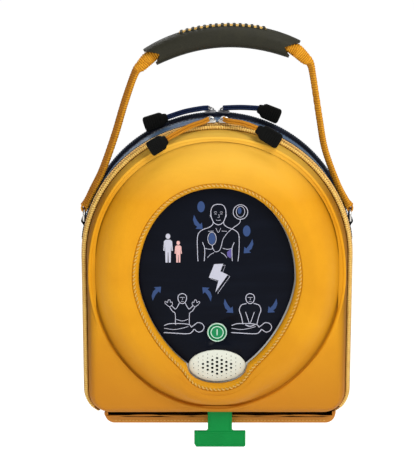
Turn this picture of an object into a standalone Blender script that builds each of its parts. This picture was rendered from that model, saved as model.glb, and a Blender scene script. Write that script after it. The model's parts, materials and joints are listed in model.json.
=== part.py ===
"""Automated external defibrillator in a moulded carry case, hanging from its carry handle.

Metres, +Z up, front towards -Y. The origin is the middle of the hand grip, and the case hangs from it.
"""

import math

import bmesh
import bpy
import numpy as np
from mathutils import Euler, Vector

GAP = 0.0003  # running clearance between pieces that touch

# Case outline: a half circle on straight sides, with rounded lower corners
CASE_RADIUS = 0.122
ARCH_Z = -0.196
CASE_BOTTOM = -0.348
CORNER_RADIUS = 0.026
ARC_STEPS = 28
CORNER_STEPS = 5
SIDE_STEPS = 3
BOTTOM_STEPS = 12

# Depth of each layer of the case, from the front
FLAP_REAR_Y = -0.0155
FRONT_ZIP_Y = -0.012
BAND_FRONT_Y = -0.0083
BAND_REAR_Y = 0.027
REAR_ZIP_Y = 0.0307
REAR_FLAP_Y = 0.0346
REAR_FACE_Y = 0.060
BAND_INSET = 0.003
BAND_WALL = 0.0025
ZIP_HALF_WIDTH = 0.0034

# Ovals on the front, all about one centre: half width, height above and below it, and roundness
FACE_Z = -0.211
GROOVE = (0.1104, 0.1232, 0.1224, 2.15, 2.0)
WINDOW = (0.070, 0.0835, 0.094, 2.1, 1.85)
WINDOW_DIP = 0.0048
WINDOW_DIP_WIDTH = math.radians(14)
DEVICE = (0.090, 0.103, 0.113, 2.35, 2.3)
LABEL = (0.0715, 0.085, 0.0995, 2.1, 1.85)

# Handle
GRIP_CENTRE = Vector((0.0035, 0.0, 0.0))
GRIP_TILT = math.radians(3.2)
GRIP_BEND_RADIUS = 0.141
GRIP_HALF_ANGLE = math.radians(27.5)
GRIP_HALF_HEIGHT = 0.0098
GRIP_HALF_DEPTH = 0.0135
STRAP_HALF_THICKNESS = 0.0031
STRAP_HALF_WIDTH = 0.0044

# Side rings, on which the case swings
RING_X = 0.119
RING_Z = -0.162
RING_RADIUS = 0.0068
RING_WIRE = 0.0012
RING_BAR_DROP = 0.0035
LOOP_WALL = 0.0014
LOOP_HALF_WIDTH = 0.0045
TAIL_THICKNESS = 0.0022

# Base and hinges of the two flaps
BASE_LEFT, BASE_RIGHT = -0.103, 0.109
BASE_CORNER = 0.009
BASE_TOP = -0.3455
BASE_BOTTOM = -0.3553
BASE_FRONT_Y = -0.0102
BASE_REAR_Y = 0.0288
HINGE_Z = -0.3478
HINGE_RADIUS = 0.0011
HINGE_HALF_LENGTH = 0.095

# Device
DEVICE_FACE_Y = -0.0321
LABEL_THICKNESS = 0.0006
SPLIT_Y = -0.008
DEVICE_REAR_Y = 0.0165
HOUSING_WALL = 0.0025
BUTTON_Z = -0.2614
BUTTON_RADIUS = 0.0066
BUTTON_RING_RADIUS = 0.0088
BUTTON_TRAVEL = 0.0012
SPEAKER_Z = -0.2929
SPEAKER_HALF = (0.0256, 0.0149)

# Cartridge, electrode tray and pull tab
CARTRIDGE_HALF_WIDTH = 0.050
CARTRIDGE_TOP = -0.222
CARTRIDGE_BOTTOM = -0.2975
CARTRIDGE_FRONT_Y = -0.0252
CARTRIDGE_REAR_Y = 0.0095
TRAY_HALF_WIDTH = 0.0445
TRAY_TOP = -0.226
TRAY_BOTTOM = -0.2985
TRAY_FRONT_Y = -0.0228
TRAY_REAR_Y = -0.0155
TAB_Y = -0.0190
TAB_THICKNESS = 0.003
TAB_X = 0.0028
STEM_WIDTH = 0.0222
STEM_TOP = -0.2988
BAR_WIDTH = 0.047
BAR_TOP = -0.3605
BAR_BOTTOM = -0.3764
CELL_RADIUS = 0.0085
CELL_LENGTH = 0.034
CELL_PITCH = 0.0178

# Zip sliders and their pulls
SLIDER_OFFSET = 0.0062
SLIDER_HALF_WIDTH = 0.0036
PULL_RADIUS = 0.0016
BAIL_Z = ARCH_Z + CASE_RADIUS + 0.0035

# Each pull: zip, slider's Y, side, then its loop's route and its grip's two ends
PULLS = (
    ("front", FRONT_ZIP_Y, -1,
     ((-0.0078, -0.0175, -0.0705), (-0.0130, -0.0245, -0.0716), (-0.0250, -0.0305, -0.0748),
      (-0.0420, -0.0338, -0.0834), (-0.0446, -0.0343, -0.0852), (-0.0590, -0.0362, -0.0938))),
    ("front", FRONT_ZIP_Y, 1,
     ((0.0055, -0.0175, -0.0705), (0.0105, -0.0240, -0.0708), (0.0220, -0.0290, -0.0718),
      (0.0330, -0.0318, -0.0752), (0.0353, -0.0322, -0.0765), (0.0540, -0.0345, -0.0875))),
    ("rear", REAR_ZIP_Y, -1,
     ((-0.0078, 0.0255, -0.0688), (-0.0140, 0.0240, -0.0690), (-0.0290, 0.0225, -0.0716),
      (-0.0430, 0.0215, -0.0760), (-0.0456, 0.0213, -0.0770), (-0.0652, 0.0205, -0.0834))),
    ("rear", REAR_ZIP_Y, 1,
     ((0.0055, 0.0255, -0.0688), (0.0110, 0.0245, -0.0684), (0.0220, 0.0235, -0.0680),
      (0.0350, 0.0228, -0.0685), (0.0376, 0.0226, -0.0690), (0.0560, 0.0220, -0.0765))),
)

# Joint places
SWING = (0.0, 0.0, RING_Z)
HINGE_FRONT = (0.0, FRONT_ZIP_Y, HINGE_Z)
HINGE_REAR = (0.0, REAR_ZIP_Y, HINGE_Z)
BUTTON_REST = (0.0, DEVICE_FACE_Y - GAP, BUTTON_Z)
TRAY_REST = (TAB_X, TAB_Y, TRAY_BOTTOM)

# What moves with each joint, beside the sliders and pulls
HANDLE_NODES = ("hand_grip", "carry_strap")
FRONT_FLAP_NODES = ("front_shell", "window_binding", "front_piping", "front_zip_flap_tape")
REAR_FLAP_NODES = ("rear_shell", "rear_piping", "rear_zip_flap_tape")
BUTTON_NODES = ("on_off_button",)
DRAWER_NODES = ("electrode_tray", "electrode_pad_front", "electrode_pad_rear", "pull_tab")

COLOURS = {
    "yellow_shell": ((0.84, 0.44, 0.05), 0.55, 0.0),
    "yellow_webbing": ((0.90, 0.50, 0.03), 0.7, 0.0),
    "yellow_edge": ((0.80, 0.42, 0.06), 0.6, 0.0),
    "blue_band": ((0.16, 0.26, 0.36), 0.8, 0.0),
    "dark_zip": ((0.015, 0.02, 0.04), 0.6, 0.0),
    "dark_fabric": ((0.02, 0.03, 0.07), 0.75, 0.0),
    "black_rubber": ((0.03, 0.03, 0.026), 0.6, 0.0),
    "steel": ((0.62, 0.62, 0.62), 0.3, 1.0),
    "pale_plastic": ((0.78, 0.80, 0.76), 0.4, 0.0),
    "navy_membrane": ((0.006, 0.010, 0.022), 0.35, 0.0),
    "green_plastic": ((0.012, 0.26, 0.07), 0.4, 0.0),
    "circuit_board": ((0.02, 0.20, 0.08), 0.5, 0.0),
    "black_plastic": ((0.02, 0.02, 0.02), 0.45, 0.0),
    "blue_sleeve": ((0.05, 0.10, 0.40), 0.35, 0.0),
    "copper": ((0.72, 0.38, 0.20), 0.35, 1.0),
    "white_film": ((0.85, 0.85, 0.82), 0.5, 0.0),
}


def clear_scene():
    for item in list(bpy.data.objects):
        bpy.data.objects.remove(item, do_unlink=True)


def material(name):
    found = bpy.data.materials.get(name)
    if found:
        return found
    colour, roughness, metallic = COLOURS[name]
    made = bpy.data.materials.new(name)
    made.use_nodes = True
    shader = made.node_tree.nodes["Principled BSDF"]
    shader.inputs["Base Color"].default_value = (*colour, 1.0)
    shader.inputs["Roughness"].default_value = roughness
    shader.inputs["Metallic"].default_value = metallic
    return made


def solid(name, points, faces, finish, origin=(0, 0, 0), smooth_deg=35.0):
    """A closed mesh object with its normals out and its origin at the given world point."""
    mesh = bpy.data.meshes.new(name)
    origin = Vector(origin)
    mesh.from_pydata([Vector(point) - origin for point in points], [], faces)
    work = bmesh.new()
    work.from_mesh(mesh)
    bmesh.ops.recalc_face_normals(work, faces=work.faces)
    work.to_mesh(mesh)
    work.free()
    mesh.shade_smooth()
    mesh.set_sharp_from_angle(angle=math.radians(smooth_deg))
    mesh.materials.append(material(finish))
    made = bpy.data.objects.new(name, mesh)
    made.location = origin
    bpy.context.scene.collection.objects.link(made)
    return made


def skin(rows, closed=False):
    """Points and faces that join rows of equal length, as a ring of rows or as a tube with capped ends."""
    count = len(rows[0])
    points = [point for row in rows for point in row]
    faces = []
    for row in range(len(rows) if closed else len(rows) - 1):
        here = row * count
        there = (row + 1) % len(rows) * count
        for i in range(count):
            j = (i + 1) % count
            faces.append((here + i, here + j, there + j, there + i))
    if not closed:
        faces.append(tuple(range(count)))
        faces.append(tuple(range(len(points) - count, len(points))))
    return points, faces


def box(low, high):
    x0, y0, z0 = low
    x1, y1, z1 = high
    ring = ((x0, z0), (x1, z0), (x1, z1), (x0, z1))
    return skin([[(x, y0, z) for x, z in ring], [(x, y1, z) for x, z in ring]])


def prism(outline, y0, y1):
    """An outline in X and Z, extruded in Y."""
    return skin([[(x, y0, z) for x, z in outline], [(x, y1, z) for x, z in outline]])


def circle(radius, steps, x=0.0, z=0.0):
    turn = 2 * math.pi / steps
    return [(x + radius * math.cos(turn * i), z + radius * math.sin(turn * i)) for i in range(steps)]


def rounded_box(half_x, half_z, corner, steps=3, x=0.0, z=0.0):
    """A rounded rectangle in X and Z."""
    points = []
    for quarter, (sx, sz) in enumerate(((1, 1), (-1, 1), (-1, -1), (1, -1))):
        for step in range(steps + 1):
            angle = math.pi / 2 * (quarter + step / steps)
            points.append((x + sx * (half_x - corner) + corner * math.cos(angle),
                           z + sz * (half_z - corner) + corner * math.sin(angle)))
    return points


def cut(target, points, faces):
    """Subtracts a closed shape from an object."""
    cutter = solid(target.name + "_cutter", points, faces, "steel")
    cutter.hide_render = True
    cutter.display_type = "WIRE"
    add_boolean(target, cutter, "DIFFERENCE")


def fuse(target, points, faces):
    """Adds a closed, overlapping shape to an object."""
    other = solid(target.name + "_addition", points, faces, "steel")
    other.hide_render = True
    other.display_type = "WIRE"
    add_boolean(target, other, "UNION")


def add_boolean(target, other, operation):
    modifier = target.modifiers.new("boolean", "BOOLEAN")
    modifier.operation = operation
    modifier.solver = "EXACT"
    modifier.object = other
    other.parent = target
    other.location = other.location - target.location


def arch_outline(inset):
    """The closed case outline in X and Z, counter-clockwise from the lower right corner."""
    radius = CASE_RADIUS - inset
    corner = CORNER_RADIUS - inset
    low = CASE_BOTTOM + inset + corner
    right = []
    for step in range(CORNER_STEPS + 1):
        angle = math.pi / 2 * (step / CORNER_STEPS - 1)
        right.append((radius - corner + corner * math.cos(angle), low + corner * math.sin(angle)))
    for step in range(1, SIDE_STEPS):
        right.append((radius, low + (ARCH_Z - low) * step / SIDE_STEPS))
    arch = []
    for step in range(ARC_STEPS + 1):
        angle = math.pi * step / ARC_STEPS
        arch.append((radius * math.cos(angle), ARCH_Z + radius * math.sin(angle)))
    left = [(-x, z) for x, z in reversed(right)]
    floor = []
    for step in range(1, BOTTOM_STEPS):
        share = 2 * step / BOTTOM_STEPS - 1
        floor.append(((radius - corner) * share, CASE_BOTTOM + inset))
    return right + arch + left + floor


def zip_path(inset):
    """The open stretch of the outline that the zips follow, up one side and down the other."""
    outline = arch_outline(inset)
    return outline[2:2 * (CORNER_STEPS + SIDE_STEPS) + ARC_STEPS - 1]


def oval_reach(oval, angle):
    half_width, above, below, power_up, power_down = oval
    across, up = math.cos(angle), math.sin(angle)
    height, power = (above, power_up) if up >= 0 else (below, power_down)
    total = (abs(across) / half_width) ** power + (abs(up) / height) ** power
    return total ** (-1 / power)


OUTLINE_ANGLES = [math.atan2(z - FACE_Z, x) for x, z in arch_outline(0.0)]


def oval_ring(oval, grow, y, angles=None):
    """A loop on an oval grown outwards by a margin."""
    angles = OUTLINE_ANGLES if angles is None else angles
    reach = [oval_reach(oval, angle) + grow for angle in angles]
    return [(r * math.cos(a), y, FACE_Z + r * math.sin(a)) for r, a in zip(reach, angles)]


def window_ring(grow, y):
    """A loop on the window's edge, which dips below the speaker, grown outwards by a margin."""
    points = []
    for x, _, z in oval_ring(WINDOW, grow, y):
        angle = math.atan2(x, FACE_Z - z)
        stretch = 1 + WINDOW_DIP * math.exp(-(angle / WINDOW_DIP_WIDTH) ** 2) / WINDOW[2]
        points.append((x * stretch, y, FACE_Z + (z - FACE_Z) * stretch))
    return points


def mixed_ring(share, y):
    """A loop part of the way in from the groove to the window."""
    outer, inner = oval_ring(GROOVE, 0.0, y), window_ring(0.0, y)
    return [tuple(np.multiply(a, 1 - share) + np.multiply(b, share)) for a, b in zip(outer, inner)]


def outline_ring(inset, y):
    return [(x, y, z) for x, z in arch_outline(inset)]


def smooth_path(points, steps):
    """Points on a Catmull-Rom curve through the given ones."""
    ends = [2 * points[0] - points[1], *points, 2 * points[-1] - points[-2]]
    path = []
    for a, b, c, d in zip(ends, ends[1:], ends[2:], ends[3:]):
        for step in range(steps):
            t = step / steps
            path.append(0.5 * (2 * b + (c - a) * t + (2 * a - 5 * b + 4 * c - d) * t * t
                               + (3 * b - a - 3 * c + d) * t ** 3))
    return path + [points[-1]]


def tube(name, points, radius, finish, sides=6):
    """A round tube along a path of world points."""
    rows = []
    side = Vector((0, 1, 0))
    for i, point in enumerate(points):
        ahead = (points[min(i + 1, len(points) - 1)] - points[max(i - 1, 0)]).normalized()
        across = ahead.cross(side).normalized()
        other = across.cross(ahead)
        rows.append([point + radius * (across * math.cos(2 * math.pi * k / sides)
                                       + other * math.sin(2 * math.pi * k / sides))
                     for k in range(sides)])
    return solid(name, *skin(rows), finish)


def ring_of_outline(name, profile, finish):
    """A closed band round the case outline. The profile is a list of (inset, y)."""
    rows = [outline_ring(inset, y) for inset, y in profile]
    return solid(name, *skin(rows, closed=True), finish)


def zip_strip(name, profile, finish):
    """An open band along the zip's stretch of the outline."""
    paths = [zip_path(inset) for inset, _ in profile]
    rows = [[(path[k][0], y, path[k][1]) for path, (_, y) in zip(paths, profile)]
            for k in range(len(paths[0]))]
    return solid(name, *skin(rows), finish)


def round_profile(inset, y, radius, sides=6):
    return [(inset + across, y + through) for across, through in circle(radius, sides)]


def make_front_flap():
    """The moulded front: rim, groove, bulge and window, with its binding, piping and zip half."""
    outside = [
        outline_ring(0.0058, -0.0150),
        outline_ring(0.0058, -0.0200),
        outline_ring(0.0066, -0.0225),
        outline_ring(0.0072, -0.0262),
        outline_ring(0.0090, -0.0288),
        oval_ring(GROOVE, 0.0012, -0.0288),
        oval_ring(GROOVE, -0.0004, -0.0266),
        mixed_ring(0.05, -0.0302),
        mixed_ring(0.18, -0.0375),
        mixed_ring(0.36, -0.0432),
        mixed_ring(0.55, -0.0454),
        mixed_ring(0.70, -0.0446),
        window_ring(0.0092, -0.0422),
        window_ring(0.0088, -0.0396),
        window_ring(0.0014, -0.0368),
    ]
    inside = [
        window_ring(0.0014, -0.0338),
        mixed_ring(0.55, -0.0352),
        mixed_ring(0.20, -0.0310),
        mixed_ring(0.0, -0.0240),
        outline_ring(0.0115, -0.0240),
        outline_ring(0.0092, -0.0205),
        outline_ring(0.0088, -0.0150),
    ]
    shell = solid("front_shell", *skin(outside + inside, closed=True), "yellow_shell", HINGE_FRONT)
    notch = box((-TRAY_HALF_WIDTH - 0.002, -0.0236, CASE_BOTTOM - 0.01),
                (TRAY_HALF_WIDTH + 0.002, -0.0130, CASE_BOTTOM + 0.0175))
    cut(shell, *notch)
    binding = [
        (0.0083, -0.0428), (0.0042, -0.0424), (0.0010, -0.0406), (-0.0002, -0.0385),
        (-0.0002, -0.0340), (0.0010, -0.0340), (0.0011, -0.0374), (0.0083, -0.0401),
    ]
    rows = [window_ring(grow, y) for grow, y in binding]
    solid("window_binding", *skin(rows, closed=True), "yellow_edge", HINGE_FRONT)
    piping = ring_of_outline("front_piping", round_profile(0.0037, -0.0184, 0.0015), "yellow_edge")
    cut(piping, *notch)
    zip_strip("front_zip_flap_tape",
              [(0.0026, -0.0163), (0.0004, -0.0140), (0.0004, -0.0122), (0.0020, -0.0122),
               (0.0045, -0.0160)],
              "yellow_webbing")


def make_rear_flap():
    """The rear pocket lid, a soft bowl open towards the front, with a flat back."""
    rows = [
        outline_ring(0.030, REAR_FACE_Y),
        outline_ring(0.015, REAR_FACE_Y),
        outline_ring(0.0085, REAR_FACE_Y - 0.0022),
        outline_ring(0.0040, REAR_FACE_Y - 0.0075),
        outline_ring(0.0020, REAR_FACE_Y - 0.0150),
        outline_ring(0.0042, REAR_FLAP_Y + 0.0045),
        outline_ring(0.0046, REAR_FLAP_Y),
        outline_ring(0.0072, REAR_FLAP_Y),
        outline_ring(0.0062, REAR_FACE_Y - 0.0145),
        outline_ring(0.0110, REAR_FACE_Y - 0.0055),
        outline_ring(0.0180, REAR_FACE_Y - 0.0032),
    ]
    solid("rear_shell", *skin(rows), "dark_fabric", HINGE_REAR)
    ring_of_outline("rear_piping", round_profile(0.0022, REAR_FLAP_Y + 0.0021, 0.0015), "dark_zip")
    zip_strip("rear_zip_flap_tape",
              [(0.0006, 0.0309), (0.0006, 0.0338), (0.0026, 0.0344), (0.0026, 0.0309)], "dark_zip")


def make_case_body():
    """The middle of the case: the fabric band, the divider behind the device and the base."""
    outer, inner = BAND_INSET, BAND_INSET + BAND_WALL
    ring_of_outline("middle_band",
                    [(outer, BAND_FRONT_Y), (outer, BAND_REAR_Y), (inner, BAND_REAR_Y),
                     (inner, BAND_FRONT_Y)],
                    "blue_band")
    zip_strip("front_zip_band_tape",
              [(0.0004, -0.0118), (0.0004, -0.0098), (0.0022, -0.0086), (0.0036, -0.0086),
               (0.0020, -0.0118)],
              "dark_zip")
    zip_strip("rear_zip_band_tape",
              [(0.0026, 0.0273), (0.0006, 0.0280), (0.0006, 0.0305), (0.0026, 0.0305)], "dark_zip")
    panel = outline_ring(inner + GAP, 0.0)
    rows = [[(x, y, z) for x, _, z in panel] for y in (0.0205, 0.0245)]
    solid("divider_panel", *skin(rows), "dark_fabric")
    curve = []
    for step in range(6):
        angle = math.pi / 2 * step / 5
        curve.append((BASE_CORNER * math.cos(angle), BASE_BOTTOM + BASE_CORNER * (1 - math.sin(angle))))
    profile = [(BASE_RIGHT, BASE_TOP), (BASE_LEFT, BASE_TOP)]
    profile += [(BASE_LEFT + BASE_CORNER - x, z) for x, z in curve]
    profile += [(BASE_RIGHT - BASE_CORNER + x, z) for x, z in reversed(curve)]
    solid("base_ledge", *prism(profile, BASE_FRONT_Y, BASE_REAR_Y), "yellow_shell")
    for name, place in (("front_hinge_strip", HINGE_FRONT), ("rear_hinge_strip", HINGE_REAR)):
        ends = [[(x, place[1] + y, place[2] + z) for y, z in circle(HINGE_RADIUS, 8)]
                for x in (-HINGE_HALF_LENGTH, HINGE_HALF_LENGTH)]
        solid(name, *skin(ends), "dark_fabric")


def pull_label(zip_name, side):
    return f"{zip_name}_{'left' if side < 0 else 'right'}"


def make_sliders():
    """Two sliders on each zip, meeting at the top, each with a looped pull and a moulded grip."""
    top = CASE_RADIUS
    profile = [(-0.0055, 0.0003), (0.0055, 0.0003), (0.0055, 0.0020), (0.0030, 0.0026),
               (0.0016, 0.0044), (-0.0016, 0.0044), (-0.0030, 0.0026), (-0.0055, 0.0020)]
    for zip_name, y, side, pull in PULLS:
        label = pull_label(zip_name, side)
        centre = Vector((0.0, y, ARCH_Z))
        points, faces = prism([(x, ARCH_Z + top + z) for x, z in profile],
                              y - SLIDER_HALF_WIDTH, y + SLIDER_HALF_WIDTH)
        finish = "steel" if zip_name == "front" else "black_plastic"
        slider = solid(f"zip_slider_{label}", points, faces, finish, centre)
        slider.rotation_euler = Euler((0, side * SLIDER_OFFSET / top, 0))
        path = [Vector(point) for point in pull]
        tube(f"pull_loop_{label}", smooth_path(path[:-2], 3), PULL_RADIUS,
             "yellow_webbing" if zip_name == "front" else "dark_fabric")
        make_pull_grip(f"pull_grip_{label}", path[-2], path[-1])


def make_pull_grip(name, start, end):
    """A flat moulded grip with bevelled ends, from one point to another."""
    ahead = (end - start).normalized()
    across = ahead.cross(Vector((0, 1, 0))).normalized()
    through = ahead.cross(across)
    length = (end - start).length
    stations = ((0.0, 0.0026, 0.0020), (0.12, 0.0042, 0.0027), (0.25, 0.0063, 0.0030),
                (0.90, 0.0067, 0.0029), (1.0, 0.0052, 0.0018))
    rows = []
    for share, half, thick in stations:
        middle = start + ahead * length * share
        rows.append([middle + across * x + through * z
                     for x, z in ((-half, -thick * 0.5), (-half * 0.6, -thick), (half * 0.6, -thick),
                                  (half, -thick * 0.5), (half, thick * 0.5), (half * 0.6, thick),
                                  (-half * 0.6, thick), (-half, thick * 0.5))])
    solid(name, *skin(rows), "black_rubber", start)


def grip_frame(share):
    """Place, tangent and normal on the grip's centre line, share -1 to 1 from left to right."""
    angle = share * GRIP_HALF_ANGLE - GRIP_TILT
    normal = Vector((math.sin(angle), 0, math.cos(angle)))
    tangent = Vector((math.cos(angle), 0, -math.sin(angle)))
    lift = Vector((math.sin(-GRIP_TILT), 0, math.cos(-GRIP_TILT)))
    place = GRIP_CENTRE + (normal - lift) * GRIP_BEND_RADIUS
    return place, tangent, normal


def section(place, normal, half_n, half_y, sides=12, power=2.8):
    """A rounded section across a path that lies in a plane of constant Y."""
    points = []
    for k in range(sides):
        angle = 2 * math.pi * k / sides
        c, s = math.cos(angle), math.sin(angle)
        reach = (abs(c) ** power + abs(s) ** power) ** (-1 / power)
        points.append(place + normal * (half_n * reach * s) + Vector((0, half_y * reach * c, 0)))
    return points


def make_handle():
    """The rubber grip, a split sleeve round the webbing, with a fish-mouth at each end."""
    shares = np.linspace(-1, 1, 15)
    outside, inside = [], []
    for share in shares:
        place, _, normal = grip_frame(share)
        slim = 1.0 - 0.10 * abs(share) ** 3
        outside.append(section(place, normal, GRIP_HALF_HEIGHT * slim, GRIP_HALF_DEPTH))
        inside.append(section(place, normal, 0.0042, 0.0093))
    grip = solid("hand_grip", *skin(outside + inside[::-1], closed=True), "black_rubber")
    for side in (-1, 1):
        place, tangent, normal = grip_frame(side)
        outwards = tangent * side
        inner = place - outwards * 0.0105
        corners = [inner, inner + outwards * 0.03 + normal * 0.024, inner + outwards * 0.03 - normal * 0.024]
        rows = [[corner + Vector((0, y, 0)) for corner in corners] for y in (-0.03, 0.03)]
        cut(grip, *skin(rows))
    make_strap()


def strap_stations():
    """(place, half thickness, half width) along the strap from the left ring to the right one."""
    left = [(-0.1188, -0.1535), (-0.1152, -0.1488), (-0.1098, -0.1370), (-0.1028, -0.1200),
            (-0.0920, -0.0880), (-0.0825, -0.0582), (-0.0730, -0.0325), (-0.0668, -0.0262)]
    right = [(0.0770, -0.0195), (0.0820, -0.0240), (0.0850, -0.0358), (0.0918, -0.0731),
             (0.0972, -0.1040), (0.1060, -0.1310), (0.1146, -0.1484), (0.1188, -0.1535)]
    places = [Vector((x, 0, z)) for x, z in left]
    places += [grip_frame(share)[0] for share in (-0.97, -0.78, -0.5, 0.0, 0.5, 0.78, 0.97)]
    places += [Vector((x, 0, z)) for x, z in right]
    lean, flat = (STRAP_HALF_THICKNESS, STRAP_HALF_WIDTH), (0.0034, 0.0084)
    mouth = [(0.0046, 0.0052), (0.0056, 0.0058), (0.0044, 0.0068)]
    sizes = [lean] * 6 + mouth + [flat] * 5 + mouth[::-1] + [lean] * 6
    return places, sizes


def make_strap():
    """One webbing strap through the grip, with an eye at each end that turns on a side ring."""
    places, sizes = strap_stations()
    fine = smooth_path(places, 2)
    thick = smooth_path([Vector((*size, 0)) for size in sizes], 2)
    rows = []
    for i, place in enumerate(fine):
        ahead = (fine[min(i + 1, len(fine) - 1)] - fine[max(i - 1, 0)]).normalized()
        normal = ahead.cross(Vector((0, 1, 0)))
        rows.append(section(place, normal, thick[i][0], thick[i][1], sides=8))
    strap = solid("carry_strap", *skin(rows), "yellow_webbing")
    eye_low = RING_Z + RING_RADIUS - RING_WIRE - 0.0026 - LOOP_WALL
    eye_high = RING_Z + RING_RADIUS + RING_WIRE + 0.0032
    half = RING_WIRE + 0.0006
    for side in (-1, 1):
        x = side * RING_X
        fuse(strap, *box((x - half - LOOP_WALL, -LOOP_HALF_WIDTH, eye_low),
                         (x + half + LOOP_WALL, LOOP_HALF_WIDTH, eye_high)))
        cut(strap, *box((x - half, -0.01, eye_low + LOOP_WALL),
                        (x + half, 0.01, RING_Z + RING_RADIUS + RING_WIRE + 0.0006)))


def make_rings():
    """The side rings, each with a round top about the pivot and a straight bar held by an anchor loop."""
    bend = 10
    for side, word in ((-1, "left"), (1, "right")):
        x = side * RING_X
        path = []
        for step in range(bend + 1):
            angle = math.pi * step / bend
            path.append((RING_RADIUS * math.cos(angle), RING_RADIUS * math.sin(angle)))
        corner = 0.0016
        low = -RING_BAR_DROP
        path += [(-RING_RADIUS, low + corner), (-RING_RADIUS + corner, low), (RING_RADIUS - corner, low),
                 (RING_RADIUS, low + corner)]
        rows = []
        for i, (y, z) in enumerate(path):
            before, after = path[i - 1], path[(i + 1) % len(path)]
            ahead = Vector((0, after[0] - before[0], after[1] - before[1])).normalized()
            out = ahead.cross(Vector((1, 0, 0)))
            place = Vector((x, y, RING_Z + z))
            rows.append([place + RING_WIRE * (Vector((1, 0, 0)) * math.cos(2 * math.pi * k / 6)
                                              + out * math.sin(2 * math.pi * k / 6)) for k in range(6)])
        solid(f"side_ring_{word}", *skin(rows, closed=True), "steel")
        make_anchor(side, word)


def make_anchor(side, word):
    """The webbing loop that holds the ring's bar, with its tail flat against the band."""
    half = RING_WIRE + 0.0005
    wall = LOOP_WALL
    x, bar = side * RING_X, RING_Z - RING_BAR_DROP
    anchor = solid(f"ring_anchor_{word}",
                   *box((x - half - wall, -LOOP_HALF_WIDTH, bar - half - 0.0015),
                        (x + half + wall, LOOP_HALF_WIDTH, bar + half + 0.0011)),
                   "black_rubber")
    rows = []
    radius = CASE_RADIUS - BAND_INSET
    for z in (bar - 0.003, bar - 0.009, bar - 0.016, bar - 0.024):
        surface = side * (math.sqrt(radius ** 2 - (z - ARCH_Z) ** 2) + GAP * 1.5)
        out = surface + side * TAIL_THICKNESS
        edge = LOOP_HALF_WIDTH - 0.0004
        rows.append([(surface, -edge, z), (out, -edge, z), (out, edge, z), (surface, edge, z)])
    fuse(anchor, *skin(rows))
    cut(anchor, *box((x - half, -0.01, bar - half), (x + half, 0.01, bar + half)))


def make_device_housings():
    """The device's two shells and the seal between them."""
    front_rows = [
        oval_ring(DEVICE, -0.0160, DEVICE_FACE_Y),
        oval_ring(DEVICE, -0.0090, DEVICE_FACE_Y + 0.0020),
        oval_ring(DEVICE, -0.0035, DEVICE_FACE_Y + 0.0065),
        oval_ring(DEVICE, 0.0, DEVICE_FACE_Y + 0.0140),
        oval_ring(DEVICE, 0.0, SPLIT_Y - GAP),
        oval_ring(DEVICE, -HOUSING_WALL, SPLIT_Y - GAP),
        oval_ring(DEVICE, -HOUSING_WALL, DEVICE_FACE_Y + 0.0145),
        oval_ring(DEVICE, -0.0060, DEVICE_FACE_Y + 0.0082),
        oval_ring(DEVICE, -0.0175, DEVICE_FACE_Y + HOUSING_WALL),
    ]
    front = solid("device_front_housing", *skin(front_rows), "pale_plastic")
    cut(front, *prism(circle(BUTTON_RING_RADIUS - 0.0012, 20, z=BUTTON_Z), -0.04, -0.025))
    speaker = [(x * SPEAKER_HALF[0] * 0.9, SPEAKER_Z + z * SPEAKER_HALF[1] * 0.86) for x, z in circle(1, 20)]
    cut(front, *prism(speaker, -0.04, -0.025))
    slot = box((-TRAY_HALF_WIDTH - 0.0012, TRAY_FRONT_Y - 0.0007, -0.335),
               (TRAY_HALF_WIDTH + 0.0012, SPLIT_Y + 0.01, CARTRIDGE_BOTTOM + 0.0005))
    cut(front, *slot)
    rear_rows = [
        oval_ring(DEVICE, -0.0200, DEVICE_REAR_Y),
        oval_ring(DEVICE, -0.0080, DEVICE_REAR_Y - 0.0030),
        oval_ring(DEVICE, -0.0015, DEVICE_REAR_Y - 0.0100),
        oval_ring(DEVICE, -0.0004, SPLIT_Y + 0.0012),
        oval_ring(DEVICE, -HOUSING_WALL, SPLIT_Y + 0.0012),
        oval_ring(DEVICE, -0.0040, DEVICE_REAR_Y - 0.0105),
        oval_ring(DEVICE, -0.0105, DEVICE_REAR_Y - 0.0052),
        oval_ring(DEVICE, -0.0210, DEVICE_REAR_Y - HOUSING_WALL),
    ]
    rear = solid("device_rear_housing", *skin(rear_rows), "pale_plastic")
    cut(rear, *box((-CARTRIDGE_HALF_WIDTH - 0.0006, SPLIT_Y - 0.01, -0.335),
                   (CARTRIDGE_HALF_WIDTH + 0.0006, CARTRIDGE_REAR_Y + 0.0006, CARTRIDGE_BOTTOM + 0.0005)))
    seal_angles = [math.radians(-55 + 290 * k / 40) for k in range(41)]
    profile = ((-0.0006, SPLIT_Y), (-0.0006, SPLIT_Y + 0.0009), (-0.0021, SPLIT_Y + 0.0009),
               (-0.0021, SPLIT_Y))
    lines = [oval_ring(DEVICE, grow, y, seal_angles) for grow, y in profile]
    solid("housing_seal", *skin([list(row) for row in zip(*lines)]), "black_rubber")


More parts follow.
